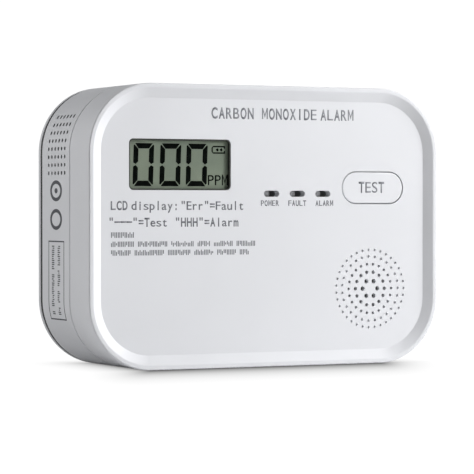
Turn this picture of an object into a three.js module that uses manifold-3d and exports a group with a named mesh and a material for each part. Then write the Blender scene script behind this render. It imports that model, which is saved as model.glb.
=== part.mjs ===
// A battery-powered carbon monoxide alarm with a liquid-crystal display, as an assembly.
//
// Millimetres, +Z up. The alarm stands on its long bottom edge: the origin is the centre of that
// edge's footprint on the table, +X runs along the case to the viewer's right, and the face with
// the display looks along -Y. The wall plate closes the back, at +Y.
import * as THREE from "three";
import { mergeVertices } from "three/addons/utils/BufferGeometryUtils.js";
import Module from "manifold-3d";

const wasm = await Module();
wasm.setup();

// ---------------------------------------------------------------- driving dimensions

// Case outline, shared by the front cover, the rear housing and the wall plate.
const WIDTH = 120;
const HEIGHT = 86;
const DEPTH = 39.5;
const CORNER_RADIUS = 20.5;
const WALL = 2;
const FACE_WALL = 1.5; // thickness of the flat face
const GAP = 0.35; // clearance between neighbouring mouldings

// Levels along Y, from the front rim to the back of the wall plate.
const RIM_Y = -DEPTH / 2;
const DISH_DEPTH = 1.5;
const FACE_Y = RIM_Y + DISH_DEPTH; // the flat face that carries the print
const FACE_BACK_Y = FACE_Y + FACE_WALL;
const PARTING_Y = RIM_Y + 14.45;
const REAR_FACE_Y = RIM_Y + 36.6;
const REAR_WALL_Y = REAR_FACE_Y - WALL;
const GROOVE = 1.1; // open groove between the housing and the wall plate
const PLATE_FRONT_Y = REAR_FACE_Y + GROOVE;
const PLATE_BACK_Y = DEPTH / 2;

// The dished face: a flat rim, then a slope down to the flat face.
const RIM_WIDTH = 1.4;
const SLOPE_WIDTH = 3.05;
const EDGE_ROUND = 0.4;

// Openings in the face.
const DISPLAY = { x: -29.55, z: 61.65, w: 33.8, h: 15.4, r: 1.4 };
const BUTTON = { x: 37.3, z: 54.9, w: 21.7, h: 9.7 };
const BUTTON_CLEARANCE = 0.3; // all round the test button
const LAMP = { x0: 1.56, pitch: 8.97, z: 52.97, w: 5.35, h: 1.9 };
const LAMPS = ["power", "fault", "alarm"];
const COLLAR = { wall: 0.8, end_y: FACE_Y + 2.9 }; // a short tube behind each lamp slot
const HORN = { x: 36.4, z: 23.35, r: 13.5 };
const HORN_RINGS = [
  { count: 6, radius: 2.63, hole: 0.75, through: true },
  { count: 14, radius: 5.21, hole: 0.6, through: true },
  { count: 22, radius: 7.67, hole: 0.48, through: true },
  { count: 27, radius: 10.07, hole: 0.45, through: false },
  { count: 35, radius: 12.15, hole: 0.42, through: false },
];
const BLIND_DEPTH = 0.7;
const BLIND_SIDES = 6;
const THROUGH_SIDES = 8;

// Gas vents in the left side wall, drilled along X.
const VENT = { columns: 6, rows: 8, pitch: 2.5, row_pitch: 2.45, y0: -1.2, z0: 59.2, r: 0.55 };
const VENT_INNER_X = -53.8; // clears the inside of the rounded corner

// Circuit board and what holds it.
const BOARD_Y0 = RIM_Y + 10.15;
const BOARD_Y1 = BOARD_Y0 + 1.6;
const BOARD_CORNERS = [
  [-56.3, 14.8],
  [-45.2, 14.8],
  [-45.2, 3.7],
  [18, 3.7],
  [18, 42],
  [56.3, 42],
  [56.3, 71.2],
  [45.2, 71.2],
  [45.2, 82.3],
  [-45.2, 82.3],
  [-45.2, 71.2],
  [-56.3, 71.2],
];
const SOLDER_GAP = 0.1; // between the board and what stands on it
const BOARD_SCREWS = [
  [-51, 44],
  [-6, 78.5],
  [52, 66],
  [10, 10],
];

// Case screws, driven from the back into tall posts of the front cover.
const CASE_SCREWS = [
  [-48.9, 11.1],
  [48.9, 11.1],
  [-48.9, 74.9],
  [48.9, 74.9],
];
const POST_END_Y = 2;
const POST_R = 3.4;
const SCREW_SEAT_Y = 6;
const SCREW_TUBE_R = 4;
const CASE_SCREW = { head_r: 2.7, head_tall: 2.1, shank_r: 1.4, length: 12 };
const BOARD_SCREW = { head_r: 2.2, head_tall: 1.6, shank_r: 0.95, length: 6 };

// Display: a dark holder behind the opening carries the glass, its reflector and its rubber strips.
const LENS = { margin: 0.75, y0: FACE_Y + 0.1, thick: 1 };
const GLASS = { w: 36.6, h: 17.6, thick: 2.1, y0: FACE_BACK_Y + 0.4 };
const HOLDER = { margin: 1.6, lining: 0.45, fit: 0.2 }; // margin: how much wider and taller than the glass
const FRAME = { inner: 0.8, outer: 3.2, reach: 3.5 }; // ribs of the cover around the holder
const REFLECTOR_SIZE = { w: 34, h: 13, thick: 0.5 };
const ZEBRA = { w: 35, h: 1.8, inset: 1.1 };

// Test switch, lamps, horn and gas sensor.
const SWITCH = { half: 3, height: 3.5, tip_y: BOARD_Y0 - 4.5, plunger_r: 1.7 };
const BUTTON_FLANGE = { margin: 3, thick: 1.15 };
const LED = { r: 1.5, foot_r: 1.9, foot: 0.9, tall: 5.35 };
const SHROUD = { end: 4.2, half_h: 3, cell_half_w: 3.2, cell_half_h: 2.1 };
const HORN_BODY = { depth: 8, ledge: 3, wall: 1, ledge_w: 1.5 };
const HORN_LEAD = { x: 3, z: 8 }; // where the leads leave the horn, from its middle
const PIEZO = { disc_r: HORN.r - 1.5, ceramic_r: 8.5, thick: 0.3, disc_y: FACE_BACK_Y + 4.25 };
const SENSOR = { x: -43.5, z: 61, r: 10, neck_r: 8.6, tall: 16, foot_y: BOARD_Y1 + 0.6 };
const SENSOR_PIN = { circle_r: 6, r: 0.5, hole_r: 0.85, count: 3 };

// Other parts on the board.
const CHIP_BOX = { x0: -12, x1: 2, z0: 52, z1: 60, thick: 1.4, legs: 10 };
const CAPACITOR_CAN = { x: 22, z: 66, r: 3.15, tall: 6 };
const COIL = { x: 33, z: 66, r: 3.6, core_r: 2.6, tall: 5, flange: 1 };

// Battery bay, two AA cells side by side, open to the back.
const BAY = { x: 29, z0: 11.8, z1: 41.8, y0: -0.2, wall: 1.5 };
const CELL = { r: 7.1, body: 49.2, nub: 1.3, nub_r: 2.6 };
const CELL_Y = BAY.y0 + 0.25 + CELL.r;
const CELL_Z = [BAY.z0 + 0.25 + CELL.r, BAY.z1 - 0.25 - CELL.r];
const CELL_END_X = 27.3; // where the button end of a cell stops
const FLANGE = { margin: 3.5, y0: 12.5, z0: 4.9, top: 3.4 }; // thicker walls around the mouth of the bay
const CONTACT_X = 28.6; // middle of each contact plate
const CONTACT = { thick: 0.4, y0: 1.8, y1: 13.4, button_r: 2, button_tall: 1.1 };
const CONTACT_Z = { low: 12.6, lower_end: 25.8, upper_start: 27.8, high: 41 };
const SPRING = { turns: 3.5, wide_r: 4.4, narrow_r: 2.5, wire_r: 0.3, samples: 42 };

// Battery door, hinged along its bottom edge.
const HINGE = { y: REAR_FACE_Y - 1.45, z: 8.2, r: 1.45, pin: 0.8 };
const DOOR = { x: 30, z1: 43.55, y0: REAR_FACE_Y - 1.8 };
const LEDGE_Y = DOOR.y0 - GAP;
const DOOR_SIDE_GAP = 0.4;
const PIN_REACH = 1.4; // how far each hinge pin stands out of the door
const SNAP = { x: 7, slit: 0.8, depth: 8 }; // the springy tongue between two slits
const GRIP = { count: 3, half_w: 5, first: 2.2, pitch: 1.8, depth: 0.5, height: 0.8 };
const PAD = { half_w: 20, half_h: 11 };

// Wall plate: window for the door, keyholes, screw holes and the posts that plug into the case.
const WINDOW = { x: 34, z0: 5.8, z1: 47, r: 3 };
const KEYHOLE = { x: 30, z: 60, r: 4.2, slot_r: 2.1, rise: 8 };
const PLATE_HOLES = [
  [-47, 44],
  [47, 44],
];
const PLATE_POSTS = [
  [-50, 30],
  [50, 30],
  [-50, 58],
  [50, 58],
];
const POST = { x: 1.8, z: 7.2, reach: 4.8 };
const SPACERS = { x: 16, z: 74, r: 3 };
const RELEASE_NOTCH = { w: 14, h: 4 };

// Wires.
const BATTERY_WIRE_R = 0.6;
const HORN_WIRE_R = 0.5;
const WIRE_HOLE = { y: 3.2, above: 4, r: 0.9 };

// ---------------------------------------------------------------- materials

function material(color, roughness, metalness = 0) {
  return new THREE.MeshStandardMaterial({ color, roughness, metalness });
}
const WHITE_PLASTIC = material(0xeceef0, 0.42);
const WHITE_BUTTON = material(0xeff0f2, 0.4);
const BLACK_PLASTIC = material(0x17181a, 0.5);
const SMOKE_PLASTIC = material(0x2c322e, 0.45);
const CLEAR_PLASTIC = material(0xdfe6e2, 0.05);
const DISPLAY_GLASS = material(0x79836f, 0.25);
const REFLECTOR = material(0xaab3a4, 0.5);
const RUBBER = material(0x3a3a3c, 0.8);
const BOARD_GREEN = material(0x1d5a38, 0.45);
const CLEAR_EPOXY = material(0xe8ece9, 0.1);
const BRASS = material(0xc9a24c, 0.3, 1);
const CERAMIC = material(0xe6e1d4, 0.5);
const STEEL = material(0xb9bcc0, 0.28, 1);
const SENSOR_STEEL = material(0xc6c9cc, 0.25, 1);
const CHIP = material(0x1b1b1d, 0.6);
const CAPACITOR = material(0x23304d, 0.35);
const CELL_SLEEVE = material(0x2f6f9a, 0.3);
const FOAM = material(0x55585c, 0.95);
const RED_WIRE = material(0xb52a22, 0.45);
const BLACK_WIRE = material(0x151517, 0.45);

// ---------------------------------------------------------------- shapes and solids

// How far a rib or post is sunk into the wall that carries it, so that the two join.
const OVERLAP = 0.5;

// Shapes are drawn with x along X and y along Z.
function roundedRect(x, z, w, h, r) {
  const s = new THREE.Shape();
  const right = x + w / 2 - r;
  const left = x - w / 2 + r;
  const top = z + h / 2 - r;
  const bottom = z - h / 2 + r;
  s.absarc(right, top, r, 0, Math.PI / 2);
  s.absarc(left, top, r, Math.PI / 2, Math.PI);
  s.absarc(left, bottom, r, Math.PI, 1.5 * Math.PI);
  s.absarc(right, bottom, r, 1.5 * Math.PI, 2 * Math.PI);
  return s;
}

// The case outline, moved in by inset.
function outline(inset) {
  return roundedRect(0, HEIGHT / 2, WIDTH - 2 * inset, HEIGHT - 2 * inset, CORNER_RADIUS - inset);
}

function obround(x, z, w, h) {
  const s = new THREE.Shape();
  const reach = (w - h) / 2;
  s.absarc(x + reach, z, h / 2, -Math.PI / 2, Math.PI / 2);
  s.absarc(x - reach, z, h / 2, Math.PI / 2, 1.5 * Math.PI);
  return s;
}

// A closed solid from a geometry, whichever way round its faces were wound.
function solid(geometry) {
  const bare = new THREE.BufferGeometry();
  const source = geometry.index ? geometry.toNonIndexed() : geometry;
  bare.setAttribute("position", source.getAttribute("position"));
  const merged = mergeVertices(bare, 1e-4);
  const vertProperties = merged.attributes.position.array;
  const triVerts = new Uint32Array(merged.index.array);
  const made = new wasm.Manifold(new wasm.Mesh({ numProp: 3, vertProperties, triVerts }));
  if (made.volume() > 0) return made;
  for (let i = 0; i < triVerts.length; i += 3) {
    [triVerts[i + 1], triVerts[i + 2]] = [triVerts[i + 2], triVerts[i + 1]];
  }
  return new wasm.Manifold(new wasm.Mesh({ numProp: 3, vertProperties, triVerts }));
}

// A shape pushed along Y from y0 to y1. Each arc of the shape gets 2 * fine chords.
function prism(shape, y0, y1, fine = 4) {
  const settings = { depth: y1 - y0, bevelEnabled: false, curveSegments: fine };
  return solid(new THREE.ExtrudeGeometry(shape, settings).rotateX(Math.PI / 2).translate(0, y1, 0));
}

// The same with both ends drawn in by size over length, in the given number of steps.
function chamferedPrism(shape, y0, y1, size, length, steps = 1, fine = 4) {
  const settings = {
    depth: y1 - y0 - 2 * length,
    bevelThickness: length,
    bevelSize: size,
    bevelOffset: -size,
    bevelSegments: steps,
    curveSegments: fine,
  };
  const geometry = new THREE.ExtrudeGeometry(shape, settings);
  return solid(geometry.rotateX(Math.PI / 2).translate(0, y1 - length, 0));
}

function box(x0, x1, y0, y1, z0, z1) {
  const g = new THREE.BoxGeometry(x1 - x0, y1 - y0, z1 - z0);
  return solid(g.translate((x0 + x1) / 2, (y0 + y1) / 2, (z0 + z1) / 2));
}

// A round bar along Y.
function barY(x, z, r, y0, y1, sides = 16) {
  const g = new THREE.CylinderGeometry(r, r, y1 - y0, sides);
  return solid(g.translate(x, (y0 + y1) / 2, z));
}

// A round bar along X.
function barX(y, z, r, x0, x1, sides = 16) {
  const g = new THREE.CylinderGeometry(r, r, x1 - x0, sides).rotateZ(Math.PI / 2);
  return solid(g.translate((x0 + x1) / 2, y, z));
}

// A profile of [radius, y] points, closed on the Y axis or on itself, turned about Y through (x, z).
function turnedY(profile, x, z, sides = 24) {
  const points = profile.map(([r, y]) => new THREE.Vector2(r, y));
  return solid(new THREE.LatheGeometry(points, sides).translate(x, 0, z));
}

// The same turned about X: each point is [radius, x].
function turnedX(profile, y, z, sides = 24) {
  const points = profile.map(([r, x]) => new THREE.Vector2(r, x));
  const g = new THREE.LatheGeometry(points, sides).rotateZ(-Math.PI / 2);
  return solid(g.translate(0, y, z));
}

// A round wire along a smooth path of [x, y, z] points.
function wire(points, r, steps, sides = 8) {
  const path = new THREE.CatmullRomCurve3(points.map((p) => new THREE.Vector3(...p)));
  const section = new THREE.Shape().absarc(0, 0, r, 0, 2 * Math.PI);
  const settings = { extrudePath: path, steps, curveSegments: sides / 2, bevelEnabled: false };
  return solid(new THREE.ExtrudeGeometry(section, settings));
}

function joined(solids) {
  return solids.reduce((all, one) => all.add(one));
}

function cut(base, ...tools) {
  return tools.reduce((left, tool) => left.subtract(tool), base);
}

const assembly = new THREE.Group();

// Adds a solid to the assembly as a named mesh.
function place(name, body, look) {
  const mesh = body.getMesh();
  const vertices = new Float32Array(mesh.numVert * 3);
  for (let i = 0; i < mesh.numVert; i++) {
    vertices.set(mesh.vertProperties.subarray(i * mesh.numProp, i * mesh.numProp + 3), i * 3);
  }
  const geometry = new THREE.BufferGeometry();
  geometry.setAttribute("position", new THREE.BufferAttribute(vertices, 3));
  geometry.setIndex(new THREE.BufferAttribute(mesh.triVerts, 1));
  geometry.computeVertexNormals();
  const node = new THREE.Mesh(geometry, look);
  node.name = name;
  assembly.add(node);
}

// ---------------------------------------------------------------- front cover

function lampX(i) {
  return LAMP.x0 + i * LAMP.pitch;
}

function hornHoles() {
  const holes = [];
  for (const { count, radius, hole, through } of HORN_RINGS) {
    for (let i = 0; i < count; i++) {
      const angle = (2 * Math.PI * i) / count;
      const x = HORN.x + radius * Math.cos(angle);
      const z = HORN.z + radius * Math.sin(angle);
      const end = through ? FACE_BACK_Y + 1 : FACE_Y + BLIND_DEPTH;
      holes.push(barY(x, z, hole, FACE_Y - 1, end, through ? THROUGH_SIDES : BLIND_SIDES));
    }
  }
  return joined(holes);
}

// The lamp slots, or with a margin the collars around them.
function lampSlots(margin, y0, y1) {
  const slots = LAMPS.map((_, i) => {
    const shape = obround(lampX(i), LAMP.z, LAMP.w + 2 * margin, LAMP.h + 2 * margin);
    return prism(shape, y0, y1);
  });
  return joined(slots);
}

// The dish: as wide as the rim's inner edge in front, as wide as the flat face at its floor.
function dish() {
  const settings = {
    depth: DISH_DEPTH,
    bevelThickness: DISH_DEPTH,
    bevelSize: SLOPE_WIDTH,
    bevelSegments: 1,
    curveSegments: 4,
  };
  const geometry = new THREE.ExtrudeGeometry(outline(RIM_WIDTH + SLOPE_WIDTH), settings);
  return solid(geometry.rotateX(Math.PI / 2).translate(0, RIM_Y, 0));
}

// A block behind the cover's inner face, centred on the display and wider than the holder by margin.
function displayBlock(margin, from, to) {
  const { x, z } = DISPLAY;
  const halfW = (GLASS.w + HOLDER.margin + margin) / 2;
  const halfH = (GLASS.h + HOLDER.margin + margin) / 2;
  return box(x - halfW, x + halfW, FACE_BACK_Y + from, FACE_BACK_Y + to, z - halfH, z + halfH);
}

// A low ring behind the face that centres the horn.
function hornSeat() {
  return cut(
    barY(HORN.x, HORN.z, HORN.r + 1.6, FACE_BACK_Y - OVERLAP, FACE_BACK_Y + 3, 24),
    barY(HORN.x, HORN.z, HORN.r + 0.4, FACE_BACK_Y - 1, FACE_BACK_Y + 4, 24),
  );
}

function frontCover() {
  const block = chamferedPrism(outline(0), RIM_Y, PARTING_Y + 2, EDGE_ROUND, EDGE_ROUND, 2);
  const trim = box(-WIDTH, WIDTH, PARTING_Y, PARTING_Y + 5, -HEIGHT, 2 * HEIGHT);
  const shell = cut(block, trim, prism(outline(WALL), FACE_BACK_Y, PARTING_Y + 1), dish());
  const displayFrame = cut(displayBlock(FRAME.outer, -OVERLAP, FRAME.reach), displayBlock(FRAME.inner, -1, 4));
  const collars = lampSlots(COLLAR.wall, FACE_BACK_Y - OVERLAP, COLLAR.end_y);
  const posts = CASE_SCREWS.map(([x, z]) => barY(x, z, POST_R, FACE_BACK_Y - OVERLAP, POST_END_Y));
  const bosses = BOARD_SCREWS.map(([x, z]) => barY(x, z, 2.6, FACE_BACK_Y - OVERLAP, BOARD_Y0 - 0.1));
  const postBores = CASE_SCREWS.map(([x, z]) => barY(x, z, 1.5, -10, POST_END_Y + 1, 12));
  const bossBores = BOARD_SCREWS.map(([x, z]) => barY(x, z, 1.05, BOARD_Y0 - 5.5, BOARD_Y0 + 1, 10));
  const displayOpening = roundedRect(DISPLAY.x, DISPLAY.z, DISPLAY.w, DISPLAY.h, DISPLAY.r);
  const clearance = 2 * BUTTON_CLEARANCE;
  const buttonOpening = obround(BUTTON.x, BUTTON.z, BUTTON.w + clearance, BUTTON.h + clearance);
  return cut(
    joined([shell, displayFrame, hornSeat(), collars, ...posts, ...bosses]),
    prism(displayOpening, RIM_Y, FACE_BACK_Y + 1, 3),
    prism(buttonOpening, RIM_Y, FACE_BACK_Y + 1, 8),
    lampSlots(0, FACE_Y - 1, COLLAR.end_y + 1),
    hornHoles(),
    ...postBores,
    ...bossBores,
  );
}

// ---------------------------------------------------------------- rear housing

function vents() {
  const holes = [];
  for (let column = 0; column < VENT.columns; column++) {
    for (let row = 0; row < VENT.rows; row++) {
      const y = VENT.y0 + column * VENT.pitch;
      const z = VENT.z0 + row * VENT.row_pitch;
      holes.push(barX(y, z, VENT.r, -WIDTH / 2 - 1, VENT_INNER_X, 6));
    }
  }
  return joined(holes);
}

// The bay that holds the cells, with a thicker flange where it meets the rear wall.
function bayWalls() {
  const { x, z0, z1, y0, wall } = BAY;
  const walls = box(-x - wall, x + wall, y0 - wall, REAR_WALL_Y, z0 - wall, z1 + wall);
  const reach = x + FLANGE.margin;
  const flange = box(-reach, reach, FLANGE.y0, REAR_WALL_Y + OVERLAP, FLANGE.z0, z1 + FLANGE.top);
  return joined([walls, flange]);
}

// A low rib between the cells.
function cellRib() {
  const middle = (CELL_Z[0] + CELL_Z[1]) / 2;
  return box(-20, 20, BAY.y0 - OVERLAP, BAY.y0 + 2.6, middle - 0.5, middle + 0.5);
}

// A tongue around the joint that reaches into the front cover, on a lip inside the housing's wall.
function tongue(front) {
  const inner = outline(WALL + 1.5);
  return joined([
    cut(prism(outline(WALL + 0.3), front - 2.2, front + 2), prism(inner, front - 3, front + 3)),
    cut(prism(outline(WALL - 0.5), front, front + 2), prism(inner, front - 1, front + 3)),
  ]);
}

// The opening for the door, the pocket for its barrel, the holes for its pins and a finger scoop.
function doorSeat() {
  const side = DOOR.x + DOOR_SIDE_GAP;
  const low = HINGE.z - HINGE.r - GAP;
  return [
    box(-side, side, LEDGE_Y, REAR_FACE_Y + 1, low, DOOR.z1 + GAP),
    box(-side, side, HINGE.y - HINGE.r - GAP, REAR_FACE_Y + 1, low, HINGE.z + HINGE.r + GAP),
    barX(HINGE.y, HINGE.z, HINGE.pin + 0.3, -DOOR.x - PIN_REACH - 0.5, DOOR.x + PIN_REACH + 0.5, 12),
    prism(obround(0, DOOR.z1 + 1.5, 16, 7), REAR_FACE_Y - 1.2, REAR_FACE_Y + 1, 6),
  ];
}

// Slots that hold the contact plates, and holes for the wires behind them.
function contactOpenings() {
  const slots = [-1, 1].map((side) => {
    const middle = side * (CONTACT_X + 0.4);
    return box(middle - 0.8, middle + 0.8, 1.5, LEDGE_Y, BAY.z0, BAY.z1);
  });
  const holes = CELL_Z.map((z) =>
    barX(WIRE_HOLE.y, z + WIRE_HOLE.above, WIRE_HOLE.r, -BAY.x - 3, -BAY.x + 1, 8));
  return [...slots, ...holes];
}

// A socket in the rear wall for one post of the wall plate.
function postSocket([x, z]) {
  const halfX = POST.x / 2 + GAP;
  const halfZ = POST.z / 2 + GAP;
  return box(x - halfX, x + halfX, REAR_WALL_Y - 1, REAR_FACE_Y + 1, z - halfZ, z + halfZ);
}

function rearHousing() {
  const front = PARTING_Y + GAP;
  const block = chamferedPrism(outline(0), front - 2, REAR_FACE_Y, EDGE_ROUND, EDGE_ROUND, 2);
  const trim = box(-WIDTH, WIDTH, front - 5, front, -HEIGHT, 2 * HEIGHT);
  const shell = cut(block, trim, prism(outline(WALL), front - 1, REAR_WALL_Y));
  const tubes = CASE_SCREWS.map(([x, z]) =>
    barY(x, z, SCREW_TUBE_R, POST_END_Y + 0.3, REAR_WALL_Y + OVERLAP));
  const seats = CASE_SCREWS.map(([x, z]) => barY(x, z, 3, SCREW_SEAT_Y, REAR_FACE_Y + 1));
  const screwHoles = CASE_SCREWS.map(([x, z]) => barY(x, z, 1.6, POST_END_Y - 1, SCREW_SEAT_Y + 1, 12));
  const hollowed = cut(
    joined([shell, tongue(front), bayWalls(), ...tubes]),
    box(-BAY.x, BAY.x, BAY.y0, REAR_FACE_Y + 1, BAY.z0, BAY.z1),
  );
  return cut(
    joined([hollowed, cellRib()]),
    vents(),
    ...doorSeat(),
    ...contactOpenings(),
    ...seats,
    ...screwHoles,
    ...PLATE_POSTS.map(postSocket),
  );
}

// ---------------------------------------------------------------- battery door

function batteryDoor() {
  const panel = box(-DOOR.x, DOOR.x, DOOR.y0, REAR_FACE_Y, HINGE.z, DOOR.z1);
  const barrel = barX(HINGE.y, HINGE.z, HINGE.r, -DOOR.x, DOOR.x, 24);
  const pins = barX(HINGE.y, HINGE.z, HINGE.pin, -DOOR.x - PIN_REACH, DOOR.x + PIN_REACH, 12);
  // Two slits free a springy tongue at the top edge.
  const slits = [-1, 1].map((side) => {
    const middle = side * SNAP.x;
    const half = SNAP.slit / 2;
    return box(middle - half, middle + half, DOOR.y0 - 1, REAR_FACE_Y + 1, DOOR.z1 - SNAP.depth, DOOR.z1 + 1);
  });
  // Shallow grooves on the tongue give a fingertip some grip.
  const grooves = [];
  for (let i = 0; i < GRIP.count; i++) {
    const z = DOOR.z1 - GRIP.first - i * GRIP.pitch;
    const half = GRIP.height / 2;
    grooves.push(box(-GRIP.half_w, GRIP.half_w, REAR_FACE_Y - GRIP.depth, REAR_FACE_Y + 1, z - half, z + half));
  }
  return cut(joined([panel, barrel, pins]), ...slits, ...grooves);
}

// A foam pad on the door that keeps the cells from rattling.
function batteryPad() {
  const middle = (CELL_Z[0] + CELL_Z[1]) / 2;
  const { half_w, half_h } = PAD;
  return box(-half_w, half_w, CELL_Y + CELL.r + 0.1, DOOR.y0 - 0.05, middle - half_h, middle + half_h);
}

// ---------------------------------------------------------------- wall plate

const THROUGH_PLATE = [PLATE_FRONT_Y - 1, PLATE_BACK_Y + 1];

function keyhole(side) {
  const x = side * KEYHOLE.x;
  const { z, r, slot_r, rise } = KEYHOLE;
  return joined([
    barY(x, z, r, ...THROUGH_PLATE, 20),
    barY(x, z + rise, slot_r, ...THROUGH_PLATE, 16),
    box(x - slot_r, x + slot_r, ...THROUGH_PLATE, z, z + rise),
  ]);
}

function platePost([x, z]) {
  const halfX = POST.x / 2;
  const halfZ = POST.z / 2;
  return box(x - halfX, x + halfX, PLATE_FRONT_Y - POST.reach, PLATE_FRONT_Y + OVERLAP, z - halfZ, z + halfZ);
}

function wallPlate() {
  const sheet = chamferedPrism(outline(0), PLATE_FRONT_Y, PLATE_BACK_Y, EDGE_ROUND, EDGE_ROUND, 1);
  // Two spacers rest against the housing, clear of it by a tenth of a millimetre.
  const spacers = [-1, 1].map((side) =>
    barY(side * SPACERS.x, SPACERS.z, SPACERS.r, REAR_FACE_Y + 0.1, PLATE_FRONT_Y + OVERLAP));
  const windowHeight = WINDOW.z1 - WINDOW.z0;
  const windowShape = roundedRect(0, (WINDOW.z0 + WINDOW.z1) / 2, 2 * WINDOW.x, windowHeight, WINDOW.r);
  const holes = PLATE_HOLES.map(([x, z]) => barY(x, z, 2.1, ...THROUGH_PLATE));
  return cut(
    joined([sheet, ...PLATE_POSTS.map(platePost), ...spacers]),
    prism(windowShape, ...THROUGH_PLATE, 3),
    prism(obround(0, 0, RELEASE_NOTCH.w, RELEASE_NOTCH.h), ...THROUGH_PLATE, 6),
    keyhole(-1),
    keyhole(1),
    ...holes,
  );
}

// ---------------------------------------------------------------- test button and its switch

function testButton() {
  const { x, z, w, h } = BUTTON;
  const { margin, thick } = BUTTON_FLANGE;
  const flangeY = FACE_BACK_Y + GAP;
  const cap = prism(obround(x, z, w, h), FACE_Y + 0.05, flangeY + thick - 0.1, 8);
  const flange = prism(obround(x, z, w + margin, h + margin), flangeY, flangeY + thick, 8);
  const stem = barY(x, z, 2, flangeY + 0.65, SWITCH.tip_y - GAP);
  return joined([cap, flange, stem]);
}

function switchBody() {
  const top = BOARD_Y0 - SWITCH.height;
  const { half } = SWITCH;
  const { x, z } = BUTTON;
  const body = box(x - half, x + half, top, BOARD_Y0 - SOLDER_GAP, z - half, z + half);
  return cut(body, barY(x, z, SWITCH.plunger_r + 0.3, top - 1, BOARD_Y0 - 1.2));
}

function switchPlunger() {
  return barY(BUTTON.x, BUTTON.z, SWITCH.plunger_r, SWITCH.tip_y, BOARD_Y0 - 2.2, 20);
}

// ---------------------------------------------------------------- display

// A rounded rectangle centred on the display.
function displayShape(w, h, r) {
  return roundedRect(DISPLAY.x, DISPLAY.z, w, h, r);
}

// A plain block centred on the display in X, and at z.
function displayBar(w, h, y0, y1, z = DISPLAY.z) {
  return box(DISPLAY.x - w / 2, DISPLAY.x + w / 2, y0, y1, z - h / 2, z + h / 2);
}

function displayLens() {
  const less = 2 * LENS.margin;
  const shape = displayShape(DISPLAY.w - less, DISPLAY.h - less, 0.9);
  return prism(shape, LENS.y0, LENS.y0 + LENS.thick, 3);
}

// A dark frame that lines the opening and carries the glass behind it.
function displayHolder() {
  const { w, h, r } = DISPLAY;
  const { margin, lining, fit } = HOLDER;
  const sleeve = prism(displayShape(w - 2 * fit, h - 2 * fit, r - fit), FACE_Y + 0.15, GLASS.y0, 3);
  const flangeShape = displayShape(GLASS.w + margin, GLASS.h + margin, 0.6);
  const flange = prism(flangeShape, FACE_BACK_Y + 0.15, BOARD_Y0 - 0.3, 2);
  const pocket = displayBar(GLASS.w + 2 * fit, GLASS.h + 2 * fit, GLASS.y0 - 0.1, BOARD_Y0);
  const less = 2 * (fit + lining);
  const sight = prism(displayShape(w - less, h - less, r - 0.5), RIM_Y, GLASS.y0 + 1, 3);
  return cut(joined([sleeve, flange]), pocket, sight);
}

function displayGlass() {
  return displayBar(GLASS.w, GLASS.h, GLASS.y0, GLASS.y0 + GLASS.thick);
}

function displayReflector() {
  const front = GLASS.y0 + GLASS.thick + 0.1;
  const { w, h, thick } = REFLECTOR_SIZE;
  return displayBar(w, h, front, front + thick);
}

// Rubber strips that join the glass's contacts to the board.
function zebraStrip(side) {
  const middle = DISPLAY.z + side * (GLASS.h / 2 - ZEBRA.inset);
  return displayBar(ZEBRA.w, ZEBRA.h, GLASS.y0 + GLASS.thick + 0.1, BOARD_Y0 - SOLDER_GAP, middle);
}

// ---------------------------------------------------------------- lamps

// Dark walls around each lamp, from behind the collars of the cover to the board.
function lampShroud() {
  const { end, half_h, cell_half_w, cell_half_h } = SHROUD;
  const { z } = LAMP;
  const y0 = COLLAR.end_y + 0.3;
  const y1 = BOARD_Y0 - SOLDER_GAP;
  const body = box(lampX(0) - end, lampX(2) + end, y0, y1, z - half_h, z + half_h);
  const cells = LAMPS.map((_, i) => {
    const x = lampX(i);
    return box(x - cell_half_w, x + cell_half_w, y0 - 1, y1 + 1, z - cell_half_h, z + cell_half_h);
  });
  return cut(body, ...cells);
}

function lamp(i) {
  const base = BOARD_Y0 - SOLDER_GAP;
  const { r, foot_r, foot, tall } = LED;
  const tip = base - tall;
  const profile = [
    [0, base],
    [foot_r, base],
    [foot_r, base - foot],
    [r, base - foot],
    [r, tip + 1.5],
    [0.87 * r, tip + 0.7],
    [0.5 * r, tip + 0.2],
    [0, tip],
  ];
  return turnedY(profile, lampX(i), LAMP.z, 12);
}

// ---------------------------------------------------------------- horn

// A round box with a ledge inside, on which the sounding disc rests.
function hornBody() {
  const front = FACE_BACK_Y + 0.15;
  const ledge = front + HORN_BODY.ledge;
  const back = front + HORN_BODY.depth;
  const { r } = HORN;
  const bore = r - HORN_BODY.wall;
  const step = bore - HORN_BODY.ledge_w;
  const profile = [
    [r, front],
    [r, back],
    [bore, back],
    [bore, ledge + 1],
    [step, ledge + 1],
    [step, ledge],
    [bore, ledge],
    [bore, front],
    [r, front],
  ];
  return turnedY(profile, HORN.x, HORN.z, 24);
}

function hornDisc(radius, y) {
  const back = y + PIEZO.thick;
  return turnedY([[0, y], [radius, y], [radius, back], [0, back]], HORN.x, HORN.z, 24);
}

// The lid of the horn, with two holes for its leads.
function hornCap() {
  const lip = FACE_BACK_Y + 4.8;
  const rim = FACE_BACK_Y + 8.3;
  const edge = HORN.r - 1.4;
  const skirt = edge - 1.2;
  const profile = [
    [0, rim - 1.2],
    [skirt, rim - 1.2],
    [skirt, lip],
    [edge, lip],
    [edge, rim],
    [0, rim],
  ];
  const leads = [-HORN_LEAD.x, HORN_LEAD.x].map((dx) =>
    barY(HORN.x + dx, HORN.z + HORN_LEAD.z, 0.9, lip, rim + 1, 8));
  return cut(turnedY(profile, HORN.x, HORN.z, 24), ...leads);
}

// ---------------------------------------------------------------- gas sensor

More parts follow.
